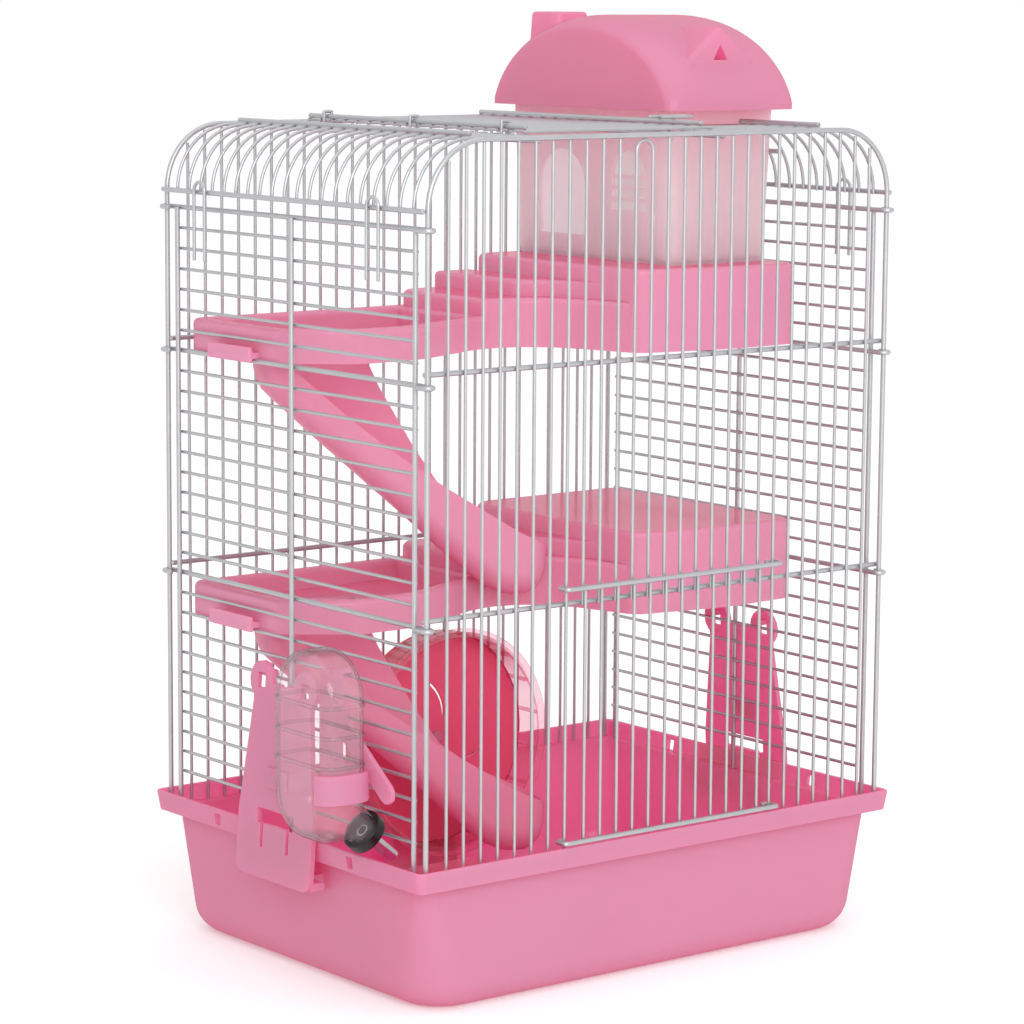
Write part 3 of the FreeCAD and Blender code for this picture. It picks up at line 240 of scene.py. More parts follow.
def turned(profile, sides):
    """A form of revolution about Z from a closed profile of (radius, height) points off the axis."""
    rings = []
    for k in range(sides):
        angle = 2 * pi * k / sides
        rings.append([V((r * cos(angle), r * sin(angle), h)) for r, h in profile])
    return loft(rings + [rings[0]], False)


def moved(form, matrix):
    return [matrix @ V(p) for p in form[0]], form[1]


def to_side(form, x):
    """Stands a form drawn in XY up in the YZ plane, with its height along X from x."""
    return moved(form, Matrix(((0, 0, 1, x), (1, 0, 0, 0), (0, 1, 0, 0), (0, 0, 0, 1))))


def to_front(form, y):
    """Stands a form drawn in XY up in the XZ plane, with its height towards the front from y."""
    return moved(form, Matrix(((1, 0, 0, 0), (0, 0, -1, y), (0, 1, 0, 0), (0, 0, 0, 1))))


def placed(name, data):
    obj = bpy.data.objects.new(name, data)
    scene.collection.objects.link(obj)
    return obj


def discard(obj):
    data = obj.data
    bpy.data.objects.remove(obj)
    bpy.data.meshes.remove(data)


def piece(form, name):
    mesh = bpy.data.meshes.new(name)
    mesh.from_pydata([tuple(c * MM for c in p) for p in form[0]], [], form[1])
    bm = bmesh.new()
    bm.from_mesh(mesh)
    bmesh.ops.remove_doubles(bm, verts=bm.verts, dist=1e-7)
    bmesh.ops.recalc_face_normals(bm, faces=bm.faces)
    bm.to_mesh(mesh)
    bm.free()
    return placed(name, mesh)


def carve(obj, forms, operation):
    """Cuts forms out of a piece or adds them to it, and keeps the result as its mesh."""
    tools = []
    for index, form in enumerate(forms):
        tool = form if isinstance(form, bpy.types.Object) else piece(form, f"tool_{index}")
        step = obj.modifiers.new("step", "BOOLEAN")
        step.operation = operation
        step.solver = "EXACT"
        step.object = tool
        tools.append(tool)
    graph = bpy.context.evaluated_depsgraph_get()
    mesh = bpy.data.meshes.new_from_object(obj.evaluated_get(graph))
    obj.modifiers.clear()
    old = obj.data
    obj.data = mesh
    mesh.name = obj.name
    bpy.data.meshes.remove(old)
    for tool in tools:
        discard(tool)
    return obj


def absorb(obj, other):
    """Takes another piece's mesh into a piece as a shell of its own."""
    bm = bmesh.new()
    bm.from_mesh(obj.data)
    bm.from_mesh(other.data)
    bm.to_mesh(obj.data)
    bm.free()
    discard(other)
    return obj


def soften(obj, width, segments=3, least=35.0, keep=None, outward=False, clamp=True):
    """Rounds the sharp edges of a piece; keep chooses edges by their ends, in millimetres."""
    bm = bmesh.new()
    bm.from_mesh(obj.data)
    bmesh.ops.remove_doubles(bm, verts=bm.verts, dist=1e-6)
    bmesh.ops.dissolve_limit(bm, angle_limit=radians(0.4), verts=bm.verts, edges=bm.edges)
    edges = []
    for edge in bm.edges:
        if len(edge.link_faces) == 2 and edge.calc_face_angle(0) > radians(least):
            if outward and not edge.is_convex:
                continue
            ends = [v.co / MM for v in edge.verts]
            if keep is None or keep(*ends):
                edges.append(edge)
    bmesh.ops.bevel(bm, geom=edges, offset=width * MM, offset_type="OFFSET", segments=segments, profile=0.5,
                    affect="EDGES", clamp_overlap=clamp)
    bm.to_mesh(obj.data)
    bm.free()
    return obj


def shade(obj, sharp):
    """Smooth shading with true creases, and flat faces kept flat beside their rounded edges."""
    bm = bmesh.new()
    bm.from_mesh(obj.data)
    for face in bm.faces:
        face.smooth = True
    for edge in bm.edges:
        edge.smooth = not (len(edge.link_faces) == 2 and edge.calc_face_angle(0) > radians(sharp))
    bm.to_mesh(obj.data)
    bm.free()
    normals = obj.modifiers.new("flat_faces", "WEIGHTED_NORMAL")
    normals.keep_sharp = True


def finished(obj, body, material, node, sharp=crease):
    """Shades a piece, gives it its material and lets it stand for a node of the frame."""
    shade(obj, sharp)
    obj.data.materials.clear()
    obj.data.materials.append(material)
    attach(obj, body)
    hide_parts(node)


# Materials
def linear(r, g, b):
    def one(c):
        c /= 255.0
        return c / 12.92 if c <= 0.04045 else ((c + 0.055) / 1.055) ** 2.4
    return one(r), one(g), one(b), 1.0


cloud_detail, grain_scale, grain_depth, plastic_ior, clear_ior = 3.0, 900.0, 0.0002, 1.46, 1.5
pink_glow, milky_glow = (0.97, 0.17, 0.42, 1.0), (0.98, 0.91, 0.93, 1.0)
tint_from, tint_to, gloss_from, gloss_to = 0.45, 0.97, 0.5, 1.0
gloss_least, gloss_most = (0.02, 0.02, 0.02, 1.0), (0.5, 0.5, 0.5, 1.0)


def add(nodes, kind, values):
    """Adds a shader node and sets some of its inputs."""
    node = nodes.new("ShaderNode" + kind)
    for key, value in values.items():
        node.inputs[key].default_value = value
    return node


def mottled(name, low, high, scale, rough_low, rough_high, bump):
    """A material whose colour and roughness drift a little over the surface, with a fine moulded grain."""
    material = bpy.data.materials.new(name)
    material.use_nodes = True
    nodes, links = material.node_tree.nodes, material.node_tree.links
    shader = nodes["Principled BSDF"]
    place = add(nodes, "TexCoord", {})
    cloud = add(nodes, "TexNoise", {"Scale": scale, "Detail": cloud_detail})
    tint = add(nodes, "Mix", {6: low, 7: high})
    tint.data_type = "RGBA"
    rough = add(nodes, "MapRange", {"To Min": rough_low, "To Max": rough_high})
    grain = add(nodes, "TexNoise", {"Scale": grain_scale})
    relief = add(nodes, "Bump", {"Strength": bump, "Distance": grain_depth})
    for source, way_out, target, way_in in (
            (place, "Object", cloud, "Vector"), (cloud, "Fac", tint, "Factor"),
            (tint, 2, shader, "Base Color"), (cloud, "Fac", rough, "Value"),
            (rough, "Result", shader, "Roughness"), (place, "Object", grain, "Vector"),
            (grain, "Fac", relief, "Height"), (relief, "Normal", shader, "Normal")):
        links.new(source.outputs[way_out], target.inputs[way_in])
    return material, nodes, links, shader


def blended(nodes, links, share, first, second, last=False):
    """Mixes two shaders by a share of the second; the last mix becomes the surface."""
    blend = add(nodes, "MixShader", {0: share} if isinstance(share, float) else {})
    if not isinstance(share, float):
        links.new(share, blend.inputs[0])
    links.new(first.outputs[0], blend.inputs[1])
    links.new(second.outputs[0], blend.inputs[2])
    if last:
        links.new(blend.outputs[0], nodes["Material Output"].inputs["Surface"])
    return blend


def plastic(name, low, high, rough_low, rough_high, through):
    """Moulded plastic whose thin walls let some deeper-coloured light through."""
    material, nodes, links, shader = mottled(
        name, linear(*low), linear(*high), 14.0, rough_low, rough_high, 0.06)
    shader.inputs["IOR"].default_value = plastic_ior
    if through:
        glow = add(nodes, "BsdfTranslucent", {"Color": pink_glow})
        blended(nodes, links, through, shader, glow, last=True)
    return material


def see_through(name, low, high, haze, face_tint, edge_tint, rough):
    """Thin clear plastic: light passes straight through, darker towards its edges, under a glossy skin."""
    material, nodes, links, shader = mottled(
        name, linear(*low), linear(*high), 20.0, rough, rough + 0.05, 0.02)
    shader.inputs["IOR"].default_value = clear_ior
    lean = add(nodes, "LayerWeight", {"Blend": 0.5})

    def by_lean(start, first, end, last):
        ramp = add(nodes, "ValToRGB", {})
        for stop, place, colour in zip(ramp.color_ramp.elements, (start, end), (first, last)):
            stop.position, stop.color = place, colour
        links.new(lean.outputs["Facing"], ramp.inputs[0])
        return ramp.outputs[0]

    open_way = add(nodes, "BsdfTransparent", {})
    tint = by_lean(tint_from, linear(*face_tint), tint_to, linear(*edge_tint))
    links.new(tint, open_way.inputs["Color"])
    cloudy = blended(nodes, links, haze, open_way, shader)
    gloss = add(nodes, "BsdfGlossy", {"Roughness": rough})
    share = by_lean(gloss_from, gloss_least, gloss_to, gloss_most)
    blended(nodes, links, share, cloudy, gloss, last=True)
    return material


def milky_plastic(name, low, high, clear_share, through):
    """Cloudy plastic that glows with the light behind it and lets a little straight through."""
    material, nodes, links, shader = mottled(name, linear(*low), linear(*high), 11.0, 0.28, 0.4, 0.04)
    shader.inputs["IOR"].default_value = plastic_ior
    glow = add(nodes, "BsdfTranslucent", {"Color": milky_glow})
    cloudy = blended(nodes, links, through, shader, glow)
    open_way = add(nodes, "BsdfTransparent", {})
    blended(nodes, links, clear_share, cloudy, open_way, last=True)
    return material


def metal(name, low, high, metallic, rough_low, rough_high):
    """Coated or bare metal with a slightly uneven sheen."""
    material, nodes, links, shader = mottled(
        name, linear(*low), linear(*high), 60.0, rough_low, rough_high, 0.1)
    shader.inputs["Metallic"].default_value = metallic
    return material


pink = plastic("pink_plastic", (217, 194, 224), (221, 199, 228), 0.12, 0.2, 0.65)
# A brighter, more saturated copy of the pink plastic for the shelves and slides: painted light, standing in
# for the light that brightens their hollows
pink_lit_copy = plastic("shelf_plastic_lit_copy", (232, 190, 220), (236, 195, 224), 0.12, 0.2, 0.55)
pink_wheel = plastic("wheel_plastic", (228, 96, 132), (232, 104, 139), 0.3, 0.4, 0.3)
silver = metal("silver_wire", (172, 173, 176), (187, 188, 190), 0.75, 0.3, 0.44)
steel = metal("bright_steel", (196, 197, 200), (206, 207, 210), 1.0, 0.18, 0.3)
black = plastic("black_plastic", (9, 8, 9), (14, 12, 13), 0.24, 0.34, 0.0)
clear = see_through("clear_plastic", (240, 230, 234), (246, 236, 240), 0.05,
                    (253, 249, 251), (190, 160, 170), 0.03)
box_clear = see_through("box_plastic", (240, 150, 178), (244, 165, 190), 0.2,
                        (252, 226, 234), (222, 130, 160), 0.06)
tinted = see_through("tinted_plastic", (246, 190, 206), (248, 202, 215), 0.1,
                     (252, 234, 240), (222, 140, 165), 0.05)
milky = milky_plastic("milky_plastic", (238, 226, 229), (243, 231, 234), 0.08, 0.74)


# Wires
def arch(y):
    corners = [(-post_x, ledge_z), (-post_x, arch_z), (post_x, arch_z), (post_x, ledge_z)]
    return wire([(x, y, z) for x, z in corners], thick, arch_bend, arch_chords)


def upright_top(x):
    past = abs(x) + thin - (post_x - arch_bend)
    inner = arch_bend - thick
    if past <= 0:
        return arch_z - thick
    return arch_z - arch_bend + sqrt(inner * inner - past * past)


def face_panel(sign, doorway):
    y = sign * upright_y
    bar_y = sign * (post_y - 2 * thick)
    forms = [arch(sign * post_y)]
    for index in range(upright_count):
        x = upright_x(index)
        cut = doorway and door_guides[0] < index < door_guides[1]
        low = bar_low_z - thick if cut else ledge_z
        if doorway and index in hairpin_wires:
            continue
        forms.append(wire([(x, y, low), (x, y, upright_top(x))], thin))
    if doorway:
        first, last = (upright_x(index) for index in hairpin_wires)
        top = arch_z - thick - hairpin_drop
        forms.append(hairpin(first, last, bar_low_z - thick, top, lambda x, z: (x, y, z)))
    end = post_x + bar_overhang
    for z in (bar_low_z, bar_high_z):
        forms.append(wire([(-end, bar_y, z), (end, bar_y, z)], thick))
    return joined(forms)


def hairpin(first, last, low, top, place):
    """A thin wire up, round and down again; place puts a point of its plane in space."""
    path = [(first, low), (first, top), (last, top), (last, low)]
    return wire([place(a, b) for a, b in path], thin, (last - first) / 2 * full_bend)


def rod(x, front, back, z):
    """A straight thick wire from front to back."""
    return wire([(x, front, z), (x, back, z)], thick)


def side_bar(sign, z):
    inner, outer = sign * side_bar_x, sign * end_bar_x
    end = post_y + 2 * thick
    tail = end - loop_tail
    path = [(outer, -tail), (outer, -end), (inner, -end), (inner, end), (outer, end), (outer, tail)]
    return wire([(x, y, z) for x, y in path], thick, 2 * thick)


def side_panel(sign):
    forms = [side_bar(sign, side_z(index)) for index in side_thick]
    front, back = side_front - side_post_y, side_post_y + side_nub
    for index in range(side_wires):
        if index not in side_thick:
            x, z = sign * side_wire_x, side_z(index)
            forms.append(wire([(x, front, z), (x, back, z)], thin))
    for y in (-side_post_y, 0, side_post_y):
        forms.append(wire([(sign * post_x, y, ledge_z), (sign * post_x, y, side_top_z + side_nub)], thick))
    return joined(forms)


def roof_wire(y, left, right):
    low = roof_end_z - thick
    points = [(-tail_x, y, low), (-tail_x, y, arch_z)] if left is None else [(left, y, arch_z)]
    points += [(tail_x, y, arch_z), (tail_x, y, low)] if right is None else [(right, y, arch_z)]
    return wire(points, thin, arch_bend if len(points) > 2 else 0.0, arch_chords)


def roof_stub(y):
    rise = radians(house_bar_angle)
    centre = V((tail_x - arch_bend, y, arch_z - arch_bend))
    low = V((tail_x, y, roof_end_z - thick))
    route = [low]
    for step in range(stub_chords + 1):
        angle = rise * step / stub_chords
        route.append(centre + V((cos(angle), 0, sin(angle))) * arch_bend)
    return wire(route, thin)


def hatch_eye(y):
    side = thick + seat_gap + thin
    foot = thick + thin
    high = hatch_bar_z + side
    path = [(-foot, roof_bar_z), (-side, hatch_bar_z - side), (-side, high), (side, high),
            (side, hatch_bar_z - side), (foot, roof_bar_z)]
    return wire([(hatch_left + x, y, z) for x, z in path], thin, eye_lean, 3)


def roof_panel():
    forms = []
    for index in range(1, roof_wires - 1):
        y = roof_y(index)
        if index in (1, house_last):
            forms.append(roof_wire(y, None, None))
            continue
        forms.append(roof_wire(y, None, hatch_left + thick))
        if house_first < index < house_last:
            forms.append(roof_wire(y, roof_frame_x - thick, house_bar_x + thick))
            forms.append(roof_stub(y))
        else:
            forms.append(roof_wire(y, roof_frame_x - thick, None))
    low, high = roof_y(1) - side_nub, roof_y(house_last) + side_nub
    for x in (hatch_left, roof_frame_x):
        forms.append(rod(x, low, high, roof_bar_z))
    front = roof_y(house_first) - side_nub
    forms.append(rod(house_bar_x, front, high, roof_bar_z))
    rise = radians(house_bar_angle)
    inner = arch_bend - thin - thick
    bar_x = tail_x - arch_bend + inner * cos(rise)
    bar_z = arch_z - arch_bend + inner * sin(rise)
    forms.append(rod(bar_x, front, high, bar_z))
    for x in (-end_bar_x, end_bar_x):
        forms.append(rod(x, -post_y, post_y, roof_end_z))
    rod_z = arch_z + thin + thick
    forms.append(rod(-roof_rod_x, -roof_rod_y, roof_rod_y, rod_z))
    forms.append(rod(roof_rod_x, -roof_rod_y, roof_y(house_first) + side_nub, rod_z))
    return joined(forms + [hatch_eye(roof_y(index) + roof_pitch / 2) for index in eye_places])


def roof_clips():
    x, top = end_bar_x + thick + thin + rest_gap, roof_end_z + clip_rise
    low = top - clip_length
    return joined([hairpin(mid - clip_half, mid + clip_half, low, top, lambda y, z: (sign * x, y, z))
                   for sign in (-1, 1) for mid in (-clip_y, clip_y)])


def door():
    left, right = (upright_x(index) for index in door_guides)
    back_y = -(upright_y + 2 * thin + door_gap)
    bar_y = back_y - thin - thick
    low, high = rim_z + door_bottom, bar_low_z + door_lap
    turn = thin + door_gap + thick
    hook_y = -(upright_y - turn)
    forms = []
    for z in (low, high):
        path = [(left + door_hook, hook_y), (left - turn, hook_y), (left - turn, bar_y),
                (right + turn, bar_y), (right + turn, hook_y), (right - door_hook, hook_y)]
        forms.append(wire([(x, y, z) for x, y in path], thick, thick + seat_gap))
    pitch = (right - left) / (door_uprights + 1)
    for index in range(door_uprights):
        x = left + (index + 1) * pitch
        forms.append(wire([(x, back_y, low - thick), (x, back_y, high + thick)], thin))
    return joined(forms)


def hatch():
    low, high = roof_y(hatch_first) - side_nub, roof_y(house_last - 1) + side_nub
    forms = [rod(x, low, high, hatch_bar_z) for x in (hatch_left, hatch_right)]
    for index in range(hatch_first, house_last):
        end = roof_frame_x + thick if index < house_first else hatch_right + hatch_lap
        y = roof_y(index)
        forms.append(wire([(hatch_left - thick, y, hatch_wire_z), (end, y, hatch_wire_z)], thin))
    return joined(forms)


def hatch_latch():
    y = roof_y(hatch_latch_wire) + roof_pitch / 2
    z = hatch_bar_z + thick + thin + rest_gap
    near, far = y - roof_pitch / 2, y + roof_pitch / 2
    tip = roof_frame_x + hatch_lap + thick
    return hairpin(near, far, hatch_right - hatch_lap, tip, lambda y, x: (x, y, z))


for name, form, body in (
        ("front_panel", face_panel(-1, True), "cage"), ("back_panel", face_panel(1, False), "cage"),
        ("left_panel", side_panel(-1), "cage"), ("right_panel", side_panel(1), "cage"),
        ("roof_panel", roof_panel(), "cage"), ("roof_clips", roof_clips(), "cage"), ("door", door(), "door"),
        ("hatch", hatch(), "hatch"), ("hatch_latch", hatch_latch(), "hatch")):
    finished(piece(form, name + "_wires"), body, silver, name, wire_crease)


def solid_copy(node):
    """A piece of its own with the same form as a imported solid."""
    return placed(node + "_moulded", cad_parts[node].data.copy())


# Moulded tray
tray_chords, lug_chords = 10, 12
lug_bore, lug_round, lug_mouth, lug_mouth_top, lug_tip = 2.65, 4.85, 2.4, 1.1, 3.4
lug_open, lug_width, lug_y = 24.0, 7.0, 26.0
cut_near, cut_far = 170.5, 190.0


def centred(less, radius, z, length=rim_x, width=rim_y):
    """A rounded rectangle about the middle, smaller than a length and width by less."""
    length, width = length - less, width - less
    return ring(-length / 2, length / 2, -width / 2, width / 2, radius, z, tray_chords)


def tub_ring(inset, z, draw):
    share = z / (rim_z - skirt_height)
    length = base_x + (rim_x - 2 * throat_inset - base_x) * share
    width = base_y + (rim_y - 2 * throat_inset - base_y) * share
    radius = base_corner + (throat_corner - base_corner) * share - inset
    return centred(2 * (inset + draw), radius - draw, z, length, width)


def tub_rings(inset, floor, top):
    edge = base_edge - inset
    rings = [tub_ring(inset, floor + edge * rise, edge * draw) for rise, draw in quarter()]
    return rings + [tub_ring(inset, top, 0)]


def lug(sign, y):
    """A hook under the rim that a latch pin turns in."""
    x, z, low, root = pin_x, pin_z, pin_z - lug_round, base_x / 2
    start, sweep = pi + radians(lug_open), -(pi + radians(2 * lug_open))
    plan = [(root, low), (x - lug_mouth, low), (x - lug_mouth, z - lug_mouth_top)]
    plan += arc(x, z, lug_bore, start, sweep, lug_chords) + [(x + lug_mouth, low), (x + lug_tip, low)]
    plan += arc(x, z, lug_round, -pi / 4, pi * 3 / 4, lug_chords) + [(root, z + lug_round)]
    form = to_front(prism(plan, 0, lug_width), y + lug_width / 2)
    return moved(form, Matrix.Scale(sign, 4, (1, 0, 0)))


def tray():
    skirt_z = rim_z - skirt_height
    twice, draft = 2 * tray_wall, 2 * skirt_draft
    rings = tub_rings(0, 0, skirt_z)
    # The skirt's lower edge, its upper edge outside and inside, and its foot on the ledge
    rings += [centred(draft + less, rim_corner, skirt_z + rise)
              for less, rise in ((1.4, 0.0), (0.4, 0.2), (0.0, 0.8))]
    rings += [centred(less, rim_corner, rim_z - drop) for less, drop in ((0.2, 1.0), (0.7, 0.3), (1.8, 0.0))]
    rings += [centred(twice - more, radius, rim_z - drop)
              for more, radius, drop in ((1.8, 2.2, 0.0), (0.5, 1.8, 0.3), (-0.2, 1.5, 1.0))]
    rings += [centred(twice + draft, 1.5, ledge_z)]
    rings += tub_rings(tray_wall, tray_wall, ledge_z)[::-1]
    obj = piece(loft(rings), "tray_moulded")
    low = (ledge_z + rim_z - latch_hole_h) / 2 - latch_hole_drop
    holes = [block(x0, x1, y - latch_hole_w / 2, y + latch_hole_w / 2, low, low + latch_hole_h)
             for y in (-latch_hole_y, latch_hole_y)
             for x0, x1 in ((-cut_far, -cut_near), (cut_near, cut_far))]
    carve(obj, holes, "DIFFERENCE")
    carve(obj, [lug(sign, y) for sign in (-1, 1) for y in (-lug_y, lug_y)], "UNION")
    return obj


# Shelves with rounded top edges, both from the upper shelf's solid
top_rounding, tongue_rounding, lowest_step, height_slack = 3.2, 0.9, 1.9, 0.01
nook_back, nook_side, nook_end, nook_sweep, nook_floor, nook_drop = 0.3, 1.0, 1.5, 80.0, 1.5, 1.4


def slide_place(form, z):
    turn = Matrix.Translation((slide_x, slide_y, z)) @ Matrix.Rotation(-radians(slide_turn), 4, "Z")
    return moved(form, turn)


def neck_plan(grow):
    corners = ((0, 0), (slide_neck, 0), (slide_neck, slide_width), (0, slide_width))
    return outline([(x, y, slide_neck_round) for x, y in corners], -grow)


def step_corner():
    """The nook behind the terrace, from above: outside an arc in the wall of the plateau's rounded corner."""
    x, y, reach = terrace_end + step_round, shelf_back - step_round, step_round - shelf_wall / 2
    back, side = shelf_back - nook_back, terrace_end - nook_side
    plan = arc(x, y, reach, pi, -radians(nook_sweep), 8)
    return plan + [(x - nook_end, back), (side, back), (side, y)]


def shelf(level, name):
    z = shelf_z[level]
    obj = solid_copy("upper_shelf")
    obj.name = name + "_moulded"
    obj.data.transform(Matrix.Translation((0, 0, (z - shelf_z[0]) * MM)))

    def outer_edge(a, b):
        """Top edges of the rim and the steps and the steps' corners, but not the hollow's or the hole's."""
        steps = [(end.z - z) / step_rise for end in (a, b)]
        on_top = min(steps) > lowest_step and all(abs(step - round(step)) < height_slack for step in steps)
        return on_top and not any(hole_x0 < p.x < hole_x1 and hole_y0 < p.y < hole_y1 for p in (a, b))

    def tongue_edge(a, b):
        return min(abs(a.x), abs(b.x)) > shelf_edge + 1.0

    soften(obj, top_rounding, segments=5, least=50.0, keep=outer_edge, outward=True, clamp=False)
    soften(obj, tongue_rounding, least=60.0, keep=tongue_edge, outward=True, clamp=False)
    if level:
        foot = loft([slide_section(s, -slide_room, basin_floor) for s in foot_stations])
        carve(obj, [slide_place(foot, shelf_z[level - 1])], "DIFFERENCE")
    nook = prism(step_corner(), z + shelf_heights[1] - nook_floor, z + shelf_heights[2] - nook_drop)
    return absorb(obj, piece(nook, "nook"))


# Slides: a rounded trough skinned over U-shaped sections along its run
slide_wall, slide_edge, slide_neck_end, slide_room, slide_round, slide_chords = 2.0, 9.0, 66.0, 0.4, 17.0, 8
collar_height, collar_reach, collar_fit, collar_lip, collar_rounding = 2.0, 4.0, 0.1, 0.9, 0.7
slide_under = basin_floor - shelf_wall
# Places along the run where sections lie, and heights of the bed and of both upper edges along it
slide_stations = [
    0.0, 0.6, 2.0, 2.6, 4.0, 7.0, 10.0, 13.0, 14.5, 19.5, 26.0, 37.0, 52.0, slide_neck_end, 72.0, 79.0, 90.0,
    100.0, 111.0, 117.0, 132.0, 141.0, 149.0, 157.0, 161.0, 165.0, 168.0, 170.0, 172.0, 174.0, 175.4, 176.5,
    177.4, 178.0]
foot_stations = [
    100.0, 117.0, 132.0, 141.0, 149.0, 157.0, 161.0, 165.0, 170.0, 174.0, 176.5, 178.0, 178.35]
slide_bed = [
    (0.0, -9.0), (0.6, -13.5), (2.0, -17.0), (4.0, -20.0), (10.0, -25.8), (37.0, -50.8), (90.0, -98.0),
    (111.0, -117.5), (132.0, -136.0), (141.0, -142.5), (149.0, -146.3), (157.0, -147.4), (165.0, -147.4),
    (170.0, -145.5), (174.0, -141.0), (176.5, -135.0), (178.0, -126.0)]
slide_near = [
    (0.0, slide_under), (13.0, slide_under), (14.5, -3.0), (19.5, -7.5), (52.0, -36.0), (75.0, -54.0),
    (111.0, -79.0), (156.0, -107.0), (178.0, -118.0)]
slide_far = [
    (0.0, slide_under), (slide_neck_end, slide_under), (79.0, -22.0), (100.0, -58.0), (117.0, -83.0),
    (140.0, -100.0), (178.0, -118.0)]


def along_line(line, s):
    """The height of a line of (place, height) points at a place."""
    for (s0, z0), (s1, z1) in zip(line, line[1:]):
        if s <= s1:
            return z0 + (z1 - z0) * (s - s0) / (s1 - s0)
    return line[-1][1]


def slide_half(s, inset):
    """Half the trough's width at a place along its run: rounded corners behind and a round nose in front."""
    half = slide_width / 2 - inset
    start, corner = s - inset, slide_edge - inset
    if start < corner:
        half -= corner - sqrt(max(corner ** 2 - (corner - max(start, 0.0)) ** 2, 0.0))
    nose = s - (slide_length - slide_width / 2)
    if nose > 0:
        half = min(half, sqrt(max((slide_width / 2 - inset) ** 2 - nose ** 2, 0.0)))
    return half if start >= 0 else 0.0


def slide_section(s, inset, top=None):
    """The trough's U at a place along its run, up to its own edges or to a level top."""
    middle = slide_width / 2
    half = slide_half(s, inset)
    low = along_line(slide_bed, s) + inset
    round_off = min(slide_round - inset, half)
    points = [(middle - half, along_line(slide_near, s) if top is None else top)]
    for side, first in ((-1, pi), (1, 1.5 * pi)):
        y = middle + side * (half - round_off)
        points += arc(y, low + round_off, round_off, first, pi / 2, slide_chords)
    points.append((middle + half, along_line(slide_far, s) if top is None else top))
    return [V((s, y, z)) for y, z in points]


def slide(level, name):
    rings = [slide_section(s, 0.0) + slide_section(s, slide_wall)[::-1] for s in slide_stations]
    obj = piece(loft(rings), name + "_moulded")
    top = basin_floor + collar_height
    collar = piece(prism(neck_plan(collar_reach), basin_floor, top), "collar")
    soften(collar, collar_rounding, segments=2)
    carve(collar, [prism(neck_plan(collar_fit), slide_under - slide_wall, top - collar_lip)], "UNION")
    carve(collar, [prism(neck_plan(collar_fit - slide_wall), -far_off, far_off)], "DIFFERENCE")
    absorb(obj, collar)
    turn = Matrix.Translation((slide_x * MM, slide_y * MM, shelf_z[level] * MM))
    obj.data.transform(turn @ Matrix.Rotation(-radians(slide_turn), 4, "Z"))
    return obj


# House
house_foot, house_lip, opening_start, opening_depth = 0.8, 0.5, 4.0, 12.0
pane_y, pane_half, pane_low, pane_spring = 0.0, 16.0, 31.5, 52.0
slat_count, slat_width, slat_reach = 3, 2.5, 100.0
doorway_y, doorway_half, doorway_low, doorway_spring = 65.0, 22.5, 14.0, 44.5
roof_left, roof_right, roof_front, roof_behind = 11.5, 8.0, 15.0, 11.5
roof_wall, roof_lap, roof_crown, roof_eaves, roof_spread = 2.0, 1.5, 51.3, 5.0, 2.5
gable_run, gable_draw, vault_chords = 24.0, 9.4, 48
chimney_x, chimney_y, chimney_half, chimney_corner, chimney_rise = 101.0, 96.0, 14.5, 7.0, 1.2
peak_x, peak_rounding, rib_inset, rib_gap = 114.5, 3.0, 4.0, 0.2
roof_low = house_top_z - roof_lap
eaves_z = roof_low + roof_eaves


def house_ring(inset, height):
    draw = inset + house_draft * (1 - height / house_height)
    return ring(house_x0 + draw, house_x1 - draw, house_y0 + draw, house_y1 - draw, house_corner - inset,
                plateau_z + height)


def arched(y, radius, low, spring):
    """A cut with a round top through the house's left wall."""
    plan = [(y - radius, low), (y + radius, low)] + arc(y, spring, radius, 0.0, pi, round_chords)
    cut = prism([(a, b + plateau_z) for a, b in plan], 0, opening_depth)
    return to_side(cut, house_x0 - opening_start)


def house():
    top = house_height - house_lip
    rings = [house_ring(house_foot, 0.0), house_ring(0.0, house_foot), house_ring(0.0, top),
             house_ring(house_lip, house_height), house_ring(house_wall - house_lip, house_height),
             house_ring(house_wall, top), house_ring(house_wall, house_wall)]
    obj = piece(loft(rings), "house_moulded")
    pane = piece(arched(pane_y, pane_half, pane_low, pane_spring), "pane")
    pitch = (pane_spring - pane_low) / slat_count
    slats = []
    for index in range(slat_count):
        z = plateau_z + pane_low + (index + 1) * pitch - slat_width / 2
        slats.append(block(0, 2 * slat_reach, -slat_reach, slat_reach, z, z + slat_width))
    carve(pane, slats, "DIFFERENCE")
    doorway = arched(doorway_y, doorway_half, doorway_low, doorway_spring)
    return carve(obj, [doorway, pane], "DIFFERENCE")


def vault(inset):
    """The roof's block on a flat elliptic arch, with its gables rounded off."""
    x0, x1 = house_x0 - roof_left + inset, house_x1 + roof_right - inset
    y0, y1 = house_y0 - roof_front, house_y1 + roof_behind
    half, middle = (y1 - y0) / 2, (y1 + y0) / 2
    wide = half + roof_spread
    reach = asin(half / wide)
    tall = roof_crown / (1 - cos(reach))
    centre_z = eaves_z + roof_crown - tall

    def gable(x, draw):
        drawn = inset + draw
        points = []
        for k in range(vault_chords + 1):
            angle = reach * (2 * k / vault_chords - 1)
            points.append(V((x, middle + (wide - drawn) * sin(angle),
                             centre_z + (tall - drawn) * cos(angle))))
        return points + [V((x, points[-1].y, roof_low)), V((x, points[0].y, roof_low))]

    steps = [((gable_run - inset) * along, (gable_draw - inset) * draw) for draw, along in quarter()]
    left = [gable(x0 + along, draw) for along, draw in steps[::-1]]
    return loft(left + [gable(x1 - along, draw) for along, draw in steps])


def chimney():
    """A tapered square stack with a rounded top edge."""
    top = eaves_z + roof_crown + chimney_rise
    rings = []
    for z, draw in ((eaves_z, -3.2), (top - 2.0, 0.35), (top - 1.2, 0.65), (top - 0.5, 1.2), (top, 2.3)):
        side = chimney_half - draw
        rings.append(ring(chimney_x - side, chimney_x + side, chimney_y - side, chimney_y + side,
                          chimney_corner - draw, z))
    return loft(rings)


